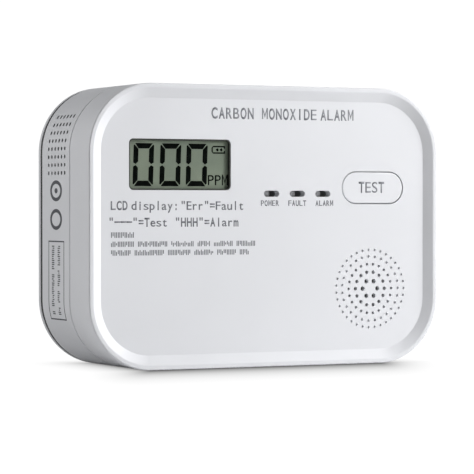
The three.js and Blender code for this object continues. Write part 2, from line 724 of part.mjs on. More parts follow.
// Round bars along Y on the circle of the sensor's pins.
function sensorPins(r, y0, y1) {
  const bars = [];
  for (let i = 0; i < SENSOR_PIN.count; i++) {
    const angle = Math.PI / 2 + (2 * Math.PI * i) / SENSOR_PIN.count;
    const x = SENSOR.x + SENSOR_PIN.circle_r * Math.cos(angle);
    const z = SENSOR.z + SENSOR_PIN.circle_r * Math.sin(angle);
    bars.push(barY(x, z, r, y0, y1, 8));
  }
  return bars;
}

function sensorCan() {
  const { r, neck_r, tall, foot_y } = SENSOR;
  const top = foot_y + tall;
  const profile = [
    [0, foot_y],
    [r, foot_y],
    [r, top - 4],
    [neck_r, top - 4],
    [neck_r, top - 1],
    [0, top - 1],
  ];
  const can = turnedY(profile, SENSOR.x, SENSOR.z, 28);
  return joined([can, ...sensorPins(SENSOR_PIN.r, BOARD_Y0 + 0.2, foot_y + OVERLAP)]);
}

// A filter cap over the sensor's inlet.
function sensorCap() {
  const top = SENSOR.foot_y + SENSOR.tall;
  const inner = SENSOR.neck_r + 0.3;
  const outer = SENSOR.r - 0.1;
  const inlet = 0.9;
  const profile = [
    [inlet, top - 0.8],
    [inner, top - 0.8],
    [inner, top - 3.7],
    [outer, top - 3.7],
    [outer, top + 0.4],
    [inlet, top + 0.4],
    [inlet, top - 0.8],
  ];
  return turnedY(profile, SENSOR.x, SENSOR.z, 28);
}

// ---------------------------------------------------------------- circuit board

function mainBoard() {
  const shape = new THREE.Shape();
  shape.setFromPoints(BOARD_CORNERS.map(([x, z]) => new THREE.Vector2(x, z)));
  const screwHoles = BOARD_SCREWS.map(([x, z]) => barY(x, z, 1.3, BOARD_Y0 - 1, BOARD_Y1 + 1, 12));
  const pinHoles = sensorPins(SENSOR_PIN.hole_r, BOARD_Y0 - 1, BOARD_Y1 + 1);
  return cut(prism(shape, BOARD_Y0, BOARD_Y1), ...screwHoles, ...pinHoles);
}

// A flat chip with a row of legs down each long side, all one moulding.
function controllerChip() {
  const { x0, x1, z0, z1, thick, legs } = CHIP_BOX;
  const seat = BOARD_Y1 + SOLDER_GAP;
  const pieces = [box(x0, x1, BOARD_Y1 + 0.3, BOARD_Y1 + 0.3 + thick, z0, z1)];
  const pitch = (x1 - x0 - 2) / (legs - 1);
  for (let i = 0; i < legs; i++) {
    const x = x0 + 1 + i * pitch;
    for (const z of [z0 - 0.8, z1 + 0.8]) {
      pieces.push(box(x - 0.25, x + 0.25, seat, seat + 0.9, z - 0.9, z + 0.9));
    }
  }
  return joined(pieces);
}

// A can with a crimped waist near its foot.
function canCapacitor() {
  const y = BOARD_Y1 + SOLDER_GAP;
  const { x, z, r, tall } = CAPACITOR_CAN;
  const profile = [
    [0, y],
    [r, y],
    [r, y + 0.8],
    [r - 0.25, y + 1.1],
    [r, y + 1.4],
    [r, y + tall],
    [0, y + tall],
  ];
  return turnedY(profile, x, z, 20);
}

// A bobbin of wire between two flanges.
function boostCoil() {
  const y = BOARD_Y1 + SOLDER_GAP;
  const { x, z, r, core_r, tall, flange } = COIL;
  const profile = [
    [0, y],
    [r, y],
    [r, y + flange],
    [core_r, y + flange],
    [core_r, y + tall - flange],
    [r, y + tall - flange],
    [r, y + tall],
    [0, y + tall],
  ];
  return turnedY(profile, x, z, 20);
}

// ---------------------------------------------------------------- screws

// A pan-head screw along Y with its head towards +Y, a cross recess in the head and its seat at y.
function screw([x, z], y, { head_r, head_tall, shank_r, length }) {
  const tip = y - length;
  const top = y + head_tall;
  const profile = [
    [0, tip],
    [shank_r * 0.3, tip],
    [shank_r, tip + 1.4],
    [shank_r, y],
    [head_r, y],
    [head_r, y + head_tall * 0.5],
    [head_r * 0.7, top],
    [0, top],
  ];
  const bar = head_r * 0.16;
  const reach = head_r * 0.6;
  const floor = y + head_tall * 0.45;
  const recess = joined([
    box(x - reach, x + reach, floor, top + 1, z - bar, z + bar),
    box(x - bar, x + bar, floor, top + 1, z - reach, z + reach),
  ]);
  return cut(turnedY(profile, x, z, 12), recess);
}

// ---------------------------------------------------------------- cells and contacts

// direction is +1 where the button end points along +X.
function cell(direction, z) {
  const { r, body, nub, nub_r } = CELL;
  const end = CELL_END_X;
  const shoulder = end - nub;
  const foot = shoulder - body;
  const profile = [
    [0, foot],
    [4.6, foot],
    [r - 0.4, foot + 0.2],
    [r, foot + 0.6],
    [r, shoulder - 0.6],
    [r - 0.4, shoulder - 0.2],
    [nub_r + 0.4, shoulder],
    [nub_r, shoulder + 0.1],
    [nub_r, end - 0.2],
    [nub_r - 0.3, end],
    [0, end],
  ];
  return turnedX(profile.map(([radius, x]) => [radius, direction * x]), CELL_Y, z, 20);
}

// A contact plate against the bay's end wall; pressed out in a button where it meets a cell's nub.
function contactPlate(side, z0, z1, buttonZ) {
  const { thick, y0, y1, button_r, button_tall } = CONTACT;
  const root = side * CONTACT_X;
  const plate = box(root - thick / 2, root + thick / 2, y0, y1, z0, z1);
  if (buttonZ === undefined) return plate;
  const tip = side * (CONTACT_X - button_tall);
  const button = [[0, tip], [button_r, tip], [button_r + 0.6, root], [0, root]];
  return joined([plate, turnedX(button, CELL_Y, buttonZ, 16)]);
}

// A conical spring from the plate on one side to the flat end of a cell.
function contactSpring(side, z) {
  const { turns, wide_r, narrow_r, wire_r, samples } = SPRING;
  const plateX = CONTACT_X - 0.55;
  const cellX = CELL.body + CELL.nub - CELL_END_X + 0.4;
  const points = [];
  for (let i = 0; i <= samples; i++) {
    const t = i / samples;
    const angle = 2 * Math.PI * turns * t;
    const radius = wide_r + (narrow_r - wide_r) * t;
    const x = side * (plateX + (cellX - plateX) * t);
    points.push([x, CELL_Y + radius * Math.cos(angle), z + radius * Math.sin(angle)]);
  }
  return wire(points, wire_r, samples + 2, 6);
}

// ---------------------------------------------------------------- wires

// A wire from a contact's hole out over the bay's wall, then along the given end points.
function batteryWire(cellZ, ends) {
  const z = cellZ + WIRE_HOLE.above;
  const start = [
    [-29.4, WIRE_HOLE.y, z],
    [-31.5, WIRE_HOLE.y, z],
    [-33.4, 2, z + 1],
    [-34, -1, z + 3],
    [-33, -4, z + 6],
  ];
  return wire([...start, ...ends], BATTERY_WIRE_R, 20);
}

// A wire from the horn's lid up to the board.
function hornWire(dx) {
  const x = HORN.x + dx;
  const path = [
    [-11, 8],
    [-8, 8],
    [-5.2, 10],
    [-4.4, 15],
    [-5.2, 20],
    [-7.4, 22],
  ];
  return wire(path.map(([y, rise]) => [x, y, HORN.z + rise]), HORN_WIRE_R, 18);
}

// ---------------------------------------------------------------- assembly

place("front_cover", frontCover(), WHITE_PLASTIC);
place("rear_housing", rearHousing(), WHITE_PLASTIC);
place("mounting_plate", wallPlate(), WHITE_PLASTIC);
place("battery_door", batteryDoor(), WHITE_PLASTIC);
place("battery_pad", batteryPad(), FOAM);
place("test_button", testButton(), WHITE_BUTTON);
place("switch_body", switchBody(), BLACK_PLASTIC);
place("switch_plunger", switchPlunger(), BLACK_PLASTIC);

place("lcd_lens", displayLens(), CLEAR_PLASTIC);
place("lcd_holder", displayHolder(), SMOKE_PLASTIC);
place("lcd_glass", displayGlass(), DISPLAY_GLASS);
place("lcd_reflector", displayReflector(), REFLECTOR);
place("zebra_strip_upper", zebraStrip(1), RUBBER);
place("zebra_strip_lower", zebraStrip(-1), RUBBER);

place("led_shroud", lampShroud(), BLACK_PLASTIC);
LAMPS.forEach((name, i) => place(`led_${name}`, lamp(i), CLEAR_EPOXY));

place("horn_body", hornBody(), BLACK_PLASTIC);
place("horn_cap", hornCap(), BLACK_PLASTIC);
place("piezo_disc", hornDisc(PIEZO.disc_r, PIEZO.disc_y), BRASS);
place("piezo_ceramic", hornDisc(PIEZO.ceramic_r, PIEZO.disc_y + 0.35), CERAMIC);

place("gas_sensor", sensorCan(), SENSOR_STEEL);
place("gas_sensor_cap", sensorCap(), BLACK_PLASTIC);

place("main_board", mainBoard(), BOARD_GREEN);
place("controller_chip", controllerChip(), CHIP);
place("capacitor", canCapacitor(), CAPACITOR);
place("boost_coil", boostCoil(), CHIP);

BOARD_SCREWS.forEach((at, i) => {
  place(`board_screw_${i + 1}`, screw(at, BOARD_Y1 + 0.05, BOARD_SCREW), STEEL);
});
CASE_SCREWS.forEach((at, i) => {
  place(`case_screw_${i + 1}`, screw(at, SCREW_SEAT_Y + 0.05, CASE_SCREW), STEEL);
});

const [LOWER_Z, UPPER_Z] = CELL_Z;
const { low, lower_end, upper_start, high } = CONTACT_Z;
place("battery_1", cell(-1, LOWER_Z), CELL_SLEEVE);
place("battery_2", cell(1, UPPER_Z), CELL_SLEEVE);
place("positive_contact", contactPlate(-1, low, lower_end, LOWER_Z), STEEL);
place("negative_contact", contactPlate(-1, upper_start, high), STEEL);
place("bridge_contact", contactPlate(1, low, high, UPPER_Z), STEEL);
place("spring_lower", contactSpring(1, LOWER_Z), STEEL);
place("spring_upper", contactSpring(-1, UPPER_Z), STEEL);

const RED_ENDS = [[-30, -6, 34], [-28, -6.6, 38], [-27.6, -7.1, 41]];
const BLACK_ENDS = [[-31, -6, 48], [-29.5, -7, 49], [-28.6, -7.1, 49.6]];
place("battery_wire_red", batteryWire(LOWER_Z, RED_ENDS), RED_WIRE);
place("battery_wire_black", batteryWire(UPPER_Z, BLACK_ENDS), BLACK_WIRE);
place("horn_wire_red", hornWire(-HORN_LEAD.x), RED_WIRE);
place("horn_wire_black", hornWire(HORN_LEAD.x), BLACK_WIRE);

export default assembly;
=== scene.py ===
"""Looks of the carbon monoxide alarm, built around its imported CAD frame.

Shapes are drawn in millimetres in the frame's own axes (+X right, the face looks along -Y, +Z up)
and turned into metres as each mesh is made.
"""

import math
import random

import bpy
import bmesh
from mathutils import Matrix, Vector


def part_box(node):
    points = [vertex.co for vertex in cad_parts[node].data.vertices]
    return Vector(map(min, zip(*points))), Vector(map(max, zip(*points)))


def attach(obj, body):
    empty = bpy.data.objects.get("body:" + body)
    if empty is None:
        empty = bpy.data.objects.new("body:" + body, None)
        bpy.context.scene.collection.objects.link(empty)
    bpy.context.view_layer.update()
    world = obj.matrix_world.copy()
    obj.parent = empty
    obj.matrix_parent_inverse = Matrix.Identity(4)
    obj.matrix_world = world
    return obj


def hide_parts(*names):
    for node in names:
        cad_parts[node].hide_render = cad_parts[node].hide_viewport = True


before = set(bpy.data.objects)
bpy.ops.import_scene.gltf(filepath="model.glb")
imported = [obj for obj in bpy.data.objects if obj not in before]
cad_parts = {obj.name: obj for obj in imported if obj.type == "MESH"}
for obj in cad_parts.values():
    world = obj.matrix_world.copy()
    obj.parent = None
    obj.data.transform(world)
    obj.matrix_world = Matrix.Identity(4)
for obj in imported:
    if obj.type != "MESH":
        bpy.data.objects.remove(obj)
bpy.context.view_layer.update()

MM = 0.001
FINE = 32  # steps in a quarter turn of the case's corners
STEPS = 24  # steps in a quarter turn elsewhere


# ---- sizes, read from the frame

def box_mm(node):
    low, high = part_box(node)
    return low / MM, high / MM


def centre(node):
    """The middle of a node's box in X and Z."""
    low, high = box_mm(node)
    return (low.x + high.x) / 2, (low.z + high.z) / 2


COVER_LO, COVER_HI = box_mm("front_cover")
PLATE_LO, PLATE_HI = box_mm("mounting_plate")
DOOR_LO, DOOR_HI = box_mm("battery_door")
BUTTON_LO, BUTTON_HI = box_mm("test_button")
LENS_LO, LENS_HI = box_mm("lcd_lens")
HOLDER_LO, HOLDER_HI = box_mm("lcd_holder")
GLASS_LO, GLASS_HI = box_mm("lcd_glass")

WIDTH = COVER_HI.x - COVER_LO.x
HEIGHT = COVER_HI.z - COVER_LO.z
CORNER = 20.5
WALL = 2.0
RIM_Y = COVER_LO.y
DISH_DEPTH = 1.5
FACE_Y = RIM_Y + DISH_DEPTH
FACE_WALL = 1.5
FACE_BACK_Y = FACE_Y + FACE_WALL
PARTING_Y = RIM_Y + 14.45
REAR_Y = box_mm("rear_housing")[1].y
PLATE_FRONT_Y = REAR_Y + 1.1
PLATE_BACK_Y = PLATE_HI.y
DISH_INSET = 4.45
RIM_INSET = 1.4
OVER = 1.0  # how far a cutting tool reaches past the face that it cuts
SINK = 0.5  # how far an added piece reaches into what it joins


# ---- meshes

def new_object(name, mesh):
    obj = bpy.data.objects.new(name, mesh)
    bpy.context.scene.collection.objects.link(obj)
    return obj


def to_mesh(name, bm):
    mesh = bpy.data.meshes.new(name)
    bm.to_mesh(mesh)
    bm.free()
    return mesh


def mesh_from(name, bm, merge=1e-4):
    """Turns a bmesh in millimetres into an object in metres."""
    bmesh.ops.remove_doubles(bm, verts=bm.verts, dist=merge)
    bmesh.ops.dissolve_degenerate(bm, edges=bm.edges, dist=merge)
    bmesh.ops.recalc_face_normals(bm, faces=bm.faces)
    bmesh.ops.scale(bm, vec=(MM, MM, MM), verts=bm.verts)
    return new_object(name, to_mesh(name, bm))


def around(radius, sides):
    """Points round a circle, from +U towards +V."""
    turn = 2 * math.pi / sides
    return [(radius * math.cos(k * turn), radius * math.sin(k * turn)) for k in range(sides)]


def rounded(cx, cz, w, h, r, steps=STEPS):
    """Returns ring(inset): a rounded rectangle in X and Z, moved in by inset."""
    def ring(inset=0.0):
        radius = max(r - inset, 0.01)
        reach_x = w / 2 - inset - radius
        reach_z = h / 2 - inset - radius
        points = []
        for quarter, (sx, sz) in enumerate(((1, 1), (-1, 1), (-1, -1), (1, -1))):
            for k in range(steps + 1):
                a = math.radians(90 * (quarter + k / steps))
                points.append((cx + sx * reach_x + radius * math.cos(a),
                               cz + sz * reach_z + radius * math.sin(a)))
        return points
    return ring


def obround(cx, cz, w, h, steps=STEPS):
    """The same for a slot with round ends, longer along X."""
    return rounded(cx, cz, w, h, h / 2, steps)


def circle(cx, cz, r, sides=24):
    return lambda inset=0.0: [(cx + u, cz + v) for u, v in around(r - inset, sides)]


def polygon(points):
    return lambda inset=0.0: points


CASE_RING = rounded(0, HEIGHT / 2, WIDTH, HEIGHT, CORNER, FINE)


def skin(bm, first, second):
    """Joins two loops of the same length with a band of quads."""
    for i in range(len(first)):
        j = (i + 1) % len(first)
        bm.faces.new((first[i], first[j], second[j], second[i]))


def wrap(bm, sections, capped=True):
    """Skins a row of sections, each a loop of points, and caps its ends or joins them."""
    loops = [[bm.verts.new(point) for point in section] for section in sections]
    for first, second in zip(loops, loops[1:]):
        skin(bm, first, second)
    if capped:
        bm.faces.new(loops[0])
        bm.faces.new(list(reversed(loops[-1])))
    else:
        skin(bm, loops[-1], loops[0])


def solid(name, sections, capped=True):
    bm = bmesh.new()
    wrap(bm, sections, capped)
    return mesh_from(name, bm)


def loft(name, ring, levels):
    """A solid whose section at each level (y, inset) is ring(inset)."""
    return solid(name, [[(x, y, z) for x, z in ring(inset)] for y, inset in levels])


def arc_levels(y_from, inset_from, y_to, inset_to, steps, hollow=False):
    """A quarter ellipse from one level to another, leaving along Y unless hollow."""
    levels = []
    for k in range(steps + 1):
        a = math.radians(90 * k / steps)
        along, across = math.sin(a), 1 - math.cos(a)
        if hollow:
            along, across = across, along
        levels.append((y_from + (y_to - y_from) * along,
                       inset_from + (inset_to - inset_from) * across))
    return levels


def round_levels(y0, y1, front, back, steps):
    """Levels from y0 to y1 with both ends rounded over."""
    return (arc_levels(y0, front, y0 + front, 0.0, steps, hollow=True)
            + arc_levels(y1 - back, 0.0, y1, back, steps))


def prism(name, ring, y0, y1):
    return loft(name, ring, [(y0, 0), (y1, 0)])


def box(name, x0, x1, y0, y1, z0, z1):
    return prism(name, polygon([(x0, z0), (x1, z0), (x1, z1), (x0, z1)]), y0, y1)


def bar_x(name, y, z, r, x0, x1, sides=24):
    """A round bar along X."""
    return solid(name, [[(x, y + u, z + v) for u, v in around(r, sides)] for x in (x0, x1)])


def turned(name, profile, at, along_x=False, sides=48):
    """Turns [(radius, along)] round Y or X: from axis to axis, or a loop that ends at its start."""
    a, b = at
    closed = profile[0] == profile[-1]
    sections = []
    for radius, along in profile[:-1] if closed else profile:
        sections.append([(along, a + u, b + v) if along_x else (a + u, along, b + v)
                         for u, v in around(radius, sides)])
    return solid(name, sections, capped=not closed)


def tube(name, points, r):
    """A round wire through the points, with flat ends."""
    side = Vector((0, 0, 1))
    sections = []
    for i, point in enumerate(points):
        ahead = Vector(points[min(i + 1, len(points) - 1)])
        behind = Vector(points[max(i - 1, 0)])
        along = (ahead - behind).normalized()
        side = (side - along * side.dot(along)).normalized()
        up = along.cross(side)
        sections.append([Vector(point) + side * u + up * v for u, v in around(r, 12)])
    return solid(name, sections)


def merged(name, parts):
    """Several objects' meshes in one object, not united."""
    bm = bmesh.new()
    for part in parts:
        bm.from_mesh(part.data)
        bpy.data.objects.remove(part)
    return new_object(name, to_mesh(name, bm))


def modify(obj, kind, **settings):
    modifier = obj.modifiers.new(kind, kind)
    for name, value in settings.items():
        setattr(modifier, name, value)


def combine(base, operation, tools):
    """Applies one boolean after another to base and removes the tools."""
    for tool in tools:
        modify(base, "BOOLEAN", operation=operation, solver="MANIFOLD", object=tool)
        graph = bpy.context.evaluated_depsgraph_get()
        result = bpy.data.meshes.new_from_object(base.evaluated_get(graph))
        base.modifiers.clear()
        base.data, old = result, base.data
        bpy.data.meshes.remove(old)
        bpy.data.objects.remove(tool)
    return base


def cut(base, *tools):
    return combine(base, "DIFFERENCE", tools)


def add(base, *tools):
    return combine(base, "UNION", tools)


SHARP = math.radians(28)
FLAT = math.radians(0.5)
NORMAL_WEIGHT = 60


def stand_for(piece, slot, *nodes, body="case"):
    """The piece rides on a body and stands for CAD nodes. The argument slot is not used."""
    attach(piece, body)
    if nodes:
        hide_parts(*nodes)


def finish(obj, material, slot, *nodes, body="case", bevel=0.0):
    """Marks and rounds sharp edges, and gives the piece its material and its place."""
    bm = bmesh.new()
    bm.from_mesh(obj.data)
    bmesh.ops.dissolve_limit(bm, angle_limit=FLAT, verts=bm.verts, edges=bm.edges)
    for face in bm.faces:
        face.smooth = True
    for edge in bm.edges:
        edge.smooth = len(edge.link_faces) == 2 and edge.calc_face_angle(0) < SHARP
    bm.to_mesh(obj.data)
    bm.free()
    if bevel:
        modify(obj, "BEVEL", width=bevel * MM, segments=2, limit_method="ANGLE", angle_limit=SHARP,
               harden_normals=True, miter_outer="MITER_ARC")
    modify(obj, "WEIGHTED_NORMAL", keep_sharp=True, weight=NORMAL_WEIGHT)
    obj.data.materials.clear()
    obj.data.materials.append(material)
    stand_for(obj, slot, *nodes, body=body)


# ---- materials

class Nodes:
    """The node tree of a material or the world, with short ways to add and join nodes."""

    def __init__(self, owner):
        owner.use_nodes = True
        self.tree = owner.node_tree
        self.tree.nodes.clear()

    def set(self, node, **inputs):
        """Each named input takes a number, a colour or another node's socket."""
        for name, value in inputs.items():
            socket = node.inputs[name.replace("_", " ")]
            if isinstance(value, bpy.types.NodeSocket):
                self.tree.links.new(value, socket)
            elif socket.type == "RGBA":
                socket.default_value = (*value, 1)
            else:
                socket.default_value = value

    def node(self, kind, **inputs):
        made = self.tree.nodes.new("ShaderNode" + kind)
        self.set(made, **inputs)
        return made

    def mix(self, share, first, second):
        """From the first shader to the second as share goes from 0 to 1."""
        made = self.node("MixShader", Fac=share)
        for place, shader in ((1, first), (2, second)):
            self.tree.links.new(shader.outputs[0], made.inputs[place])
        return made

    def math(self, operation, *values):
        """A Math node on numbers and sockets."""
        made = self.node("Math")
        made.operation = operation
        for socket, value in zip(made.inputs, values):
            if isinstance(value, (int, float)):
                socket.default_value = value
            else:
                self.tree.links.new(value, socket)
        return made.outputs[0]


class Surface(Nodes):
    """A material with one Principled shader, whose textures use object coordinates."""

    def __init__(self, name):
        self.material = bpy.data.materials.new(name)
        super().__init__(self.material)
        self.shader = self.node("BsdfPrincipled")
        self.output = self.node("OutputMaterial", Surface=self.shader.outputs[0])
        self.coordinates = self.node("TexCoord").outputs["Object"]

    def paint(self, **inputs):
        """Sets the shader's inputs and returns the material."""
        self.set(self.shader, **inputs)
        return self.material

    def texture(self, kind, **inputs):
        return self.node(kind, Vector=self.coordinates, **inputs)

    def noise(self, scale, detail=3.0, roughness=0.5):
        made = self.texture("TexNoise", Scale=scale, Detail=detail, Roughness=roughness)
        return made.outputs["Fac"]

    def across(self):
        """The X and Y object coordinates."""
        made = self.node("SeparateXYZ", Vector=self.coordinates)
        return made.outputs["X"], made.outputs["Y"]

    def ramp(self, value, low, high, at=(0.3, 0.7)):
        """Colours from low to high as value crosses from at[0] to at[1]."""
        made = self.node("ValToRGB", Fac=value)
        for element, colour, position in zip(made.color_ramp.elements, (low, high), at):
            element.color = (*colour, 1)
            element.position = position
        return made.outputs["Color"]

    def spread(self, value, low, high):
        """A number from low to high as value goes from 0.3 to 0.7."""
        made = self.node("MapRange", Value=value, From_Min=0.3, From_Max=0.7,
                         To_Min=low, To_Max=high)
        return made.outputs["Result"]

    def bump(self, height, strength, depth):
        """Relief from height, depth in millimetres."""
        made = self.node("Bump", Height=height, Strength=strength, Distance=depth * MM)
        return made.outputs["Normal"]


def srgb(*values):
    """Linear colour from 0-255 display values."""
    linear = []
    for value in values:
        v = value / 255
        linear.append(v / 12.92 if v <= 0.04045 else ((v + 0.055) / 1.055) ** 2.4)
    return tuple(linear)


def shade(colour, factor):
    return tuple(min(1.0, c * factor) for c in colour)


def plastic(name, colour, roughness, mottle, specular=0.4):
    """Moulded plastic: a fine spark-eroded grain, faint flow marks and uneven gloss."""
    n = Surface(name)
    flow, gloss, grain = n.noise(28.0, 2.0), n.noise(160.0, 4.0), n.noise(2600.0, 4.0, 0.6)
    return n.paint(
        Base_Color=n.ramp(flow, shade(colour, 1 - mottle), shade(colour, 1 + mottle)),
        Roughness=n.spread(gloss, roughness - 0.04, roughness + 0.04),
        Specular_IOR_Level=specular,
        Normal=n.bump(grain, strength=0.25, depth=0.02),
    )


def metal(name, colour, roughness):
    """Plated or drawn metal with fine scratches and a little tarnish."""
    n = Surface(name)
    tarnish, gloss, scratches = n.noise(60.0), n.noise(420.0, 5.0), n.noise(900.0, 5.0)
    return n.paint(
        Base_Color=n.ramp(tarnish, shade(colour, 0.86), colour),
        Roughness=n.spread(gloss, roughness - 0.07, roughness + 0.1),
        Metallic=1.0,
        Normal=n.bump(scratches, strength=0.2, depth=0.01),
    )


def display_material():
    """Grey-green display: an even tone, slightly uneven under the glass."""
    n = Surface("display_grey_green")
    return n.paint(
        Base_Color=n.ramp(n.noise(70.0, 2.0), srgb(130, 139, 126), srgb(139, 147, 132)),
        Roughness=n.spread(n.noise(300.0), 0.45, 0.55),
        Specular_IOR_Level=0.2,
        Normal=n.bump(n.noise(3000.0), strength=0.12, depth=0.01),
    )


SLEEVE_BLUE, SLEEVE_PALE = (0.012, 0.075, 0.19), (0.5, 0.52, 0.54)
BAND_EDGE = (0.74, 0.745)


def sleeve_material(name, direction):
    """A cell's sleeve: blue, with a pale band towards its button end and no lettering."""
    n = Surface(name)
    x, _ = n.across()
    along = n.math("MULTIPLY_ADD", x, direction * 18.0, 0.5)
    return n.paint(
        Base_Color=n.ramp(along, SLEEVE_BLUE, SLEEVE_PALE, at=BAND_EDGE),
        Roughness=n.spread(n.noise(220.0, 4.0), 0.22, 0.36),
        Normal=n.bump(n.noise(500.0), strength=0.15, depth=0.02),
    )


def clear_material(name, tint, gloss=0.06, haze=0.0, colour=(0.02, 0.02, 0.02), painted_glow=0.0):
    """Clear plastic with a weak reflection, a share of haze and an optional faint painted glow."""
    n = Surface(name)
    clear = n.node("BsdfTransparent", Color=tint)
    edge = n.node("LayerWeight", Blend=gloss).outputs["Fresnel"]
    n.paint(
        Base_Color=colour,
        Roughness=n.spread(n.noise(200.0), 0.04, 0.09),
        Emission_Color=(1, 1, 1),
        Emission_Strength=painted_glow,
    )
    mix = n.mix(n.math("ADD", edge, haze), clear, n.shader)
    n.set(n.output, Surface=mix.outputs[0])
    return n.material


def board_material():
    """Green solder mask with the slight relief of tracks under it."""
    n = Surface("solder_mask")
    tracks = n.texture("TexBrick", Scale=420.0, Mortar_Size=0.03, Color1=(0.012, 0.1, 0.045),
                       Color2=(0.016, 0.13, 0.06), Mortar=(0.03, 0.2, 0.09))
    return n.paint(
        Base_Color=tracks.outputs["Color"],
        Roughness=n.spread(n.noise(200.0), 0.3, 0.42),
        Normal=n.bump(tracks.outputs["Fac"], strength=0.3, depth=0.02),
    )


def foam_material():
    """Dark open-cell foam."""
    n = Surface("foam")
    cells = n.texture("TexVoronoi", Scale=1800.0).outputs["Distance"]
    return n.paint(
        Base_Color=n.ramp(cells, (0.05, 0.052, 0.055), (0.1, 0.102, 0.106)),
        Roughness=0.95,
        Normal=n.bump(cells, strength=0.6, depth=0.08),
    )


WHITE = (0.697, 0.705, 0.731)
CASE_WHITE = plastic("case_white", WHITE, 0.46, 0.02)
BUTTON_WHITE = plastic("button_white", shade(WHITE, 1.02), 0.42, 0.02)
BLACK = plastic("moulded_black", (0.012, 0.012, 0.014), 0.5, 0.15)
SHROUD = plastic("lamp_shroud", (0.3, 0.3, 0.31), 0.35, 0.1)
SMOKE = plastic("smoke_grey", (0.045, 0.05, 0.04), 0.5, 0.1)
INK = plastic("grey_ink", srgb(104, 106, 111), 0.6, 0.05)
PALE_INK = plastic("pale_ink", srgb(124, 126, 131), 0.6, 0.05)
SIDE_INK = plastic("dark_ink", srgb(66, 68, 74), 0.6, 0.05)
LCD_BLACK = plastic("lcd_segment", (0.002, 0.003, 0.0025), 0.9, 0.1, 0.05)
# dark liners inside the vent holes: painted shade
VENT_SHADE = plastic("vent_shade_dark", (0.02, 0.021, 0.024), 0.8, 0.2)
REFLECTOR = plastic("satin_reflector", (0.4, 0.43, 0.38), 0.5, 0.04)
CAN_SLEEVE = plastic("capacitor_sleeve", (0.02, 0.03, 0.07), 0.35, 0.12)
# real rubber for the display's strips, and the painted shade in the plate's groove
RUBBER_AND_GROOVE_SHADE = plastic("rubber", (0.04, 0.04, 0.042), 0.75, 0.2)
RED_WIRE = plastic("red_insulation", (0.45, 0.02, 0.015), 0.45, 0.08)
BLACK_WIRE = plastic("black_insulation", (0.015, 0.015, 0.016), 0.45, 0.15)
CERAMIC = plastic("fired_ceramic", (0.72, 0.69, 0.6), 0.6, 0.06)
CHIP = plastic("chip_epoxy", (0.018, 0.018, 0.02), 0.6, 0.2)
STEEL = metal("plated_steel", (0.62, 0.63, 0.65), 0.28)
SENSOR_STEEL = metal("drawn_steel", (0.68, 0.69, 0.7), 0.24)
BRASS = metal("brass", (0.72, 0.5, 0.2), 0.3)
COPPER = metal("enamelled_copper", (0.6, 0.25, 0.12), 0.35)
DISPLAY = display_material()
CLEAR = clear_material("clear_acrylic", (0.97, 0.98, 0.97))
# The lamps are unlit; their epoxy's faint glow is painted light that brightens the domes.
LAMP_CLEAR = clear_material("clear_epoxy", (0.9, 0.91, 0.9), gloss=0.3, haze=0.6,
                            colour=(0.9, 0.9, 0.92), painted_glow=0.06)
SLEEVES = {-1: sleeve_material("sleeve_left", -1), 1: sleeve_material("sleeve_right", 1)}
BOARD = board_material()
FOAM = foam_material()


# ---- camera, light, floor

LENS_LENGTH, SENSOR_WIDTH = 184.56, 36.0
NEAREST = 0.01
CAMERA_AT = Vector((-345.66, -678.25, 48.75)) * MM
CAMERA_TARGET = Vector((-11.12, -19.75, 39.76)) * MM


def aim(obj, direction):
    obj.rotation_euler = direction.to_track_quat("-Z", "Y").to_euler()


def camera():
    data = bpy.data.cameras.new("camera")
    data.lens = LENS_LENGTH
    data.sensor_width = SENSOR_WIDTH
    data.clip_start = NEAREST
    obj = new_object("camera", data)
    obj.location = CAMERA_AT
    aim(obj, CAMERA_TARGET - CAMERA_AT)
    bpy.context.scene.camera = obj


STUDIO_LAMPS = (
    # name, degrees right of the front, degrees up, metres away, size, watts
    ("key_low", 60, 10, 0.9, 0.5, 7.6),
    ("key_high", 60, 35, 0.9, 0.5, 4.6),
    ("back_left", -130, 20, 0.9, 0.6, 3.3),
    ("overhead", 0, 90, 0.96, 1.8, 5.5),
)
LIT_POINT = Vector((0.0, -0.01, 0.043))
SEEN_WORLD = ((1, 1, 1), 1.05)
LIT_WORLD = ((0.94, 0.97, 1.0), 0.02)


def soft_light(name, azimuth, elevation, distance, size, power):
    """A square soft light aimed at the alarm."""
    data = bpy.data.lights.new(name, "AREA")
    data.shape = "SQUARE"
    data.size = size
    data.energy = power
    obj = new_object(name, data)
    turn, rise = math.radians(azimuth), math.radians(elevation)
    away = Vector((math.sin(turn) * math.cos(rise), -math.cos(turn) * math.cos(rise),
                   math.sin(rise)))
    obj.location = LIT_POINT + distance * away
    aim(obj, -away)


def studio():
    """White surroundings that cast little light, and soft lights round the alarm."""
    scene = bpy.context.scene
    scene.view_settings.view_transform = "Standard"
    scene.world = bpy.data.worlds.new("studio")
    n = Nodes(scene.world)
    lit, seen = (n.node("Background", Color=colour, Strength=strength)
                 for colour, strength in (LIT_WORLD, SEEN_WORLD))
    mix = n.mix(n.node("LightPath").outputs["Is Camera Ray"], lit, seen)
    n.node("OutputWorld", Surface=mix.outputs[0])
    for lamp in STUDIO_LAMPS:
        soft_light(*lamp)


FLOOR_R = 1500
FLOOR_Z = -0.02
# the rest of the floor's numbers are for its material, in metres
FOOT_X, FOOT_Y = 0.0395, 0.0193
# how far the floor's painted shadow reaches, how dark it is, how it leans and how it falls off
SHADOW_REACH = 0.020
SHADOW_DEPTH = 0.95
SHADOW_LEAN = 0.508
FRONT_FALL, BACK_FALL, SIDE_FALL = 1.0, 3.0, 2.8
FLOOR_WHITE = 0.87
FLOOR_SEEN = 0.04
FLOOR_GLOW = 1.03


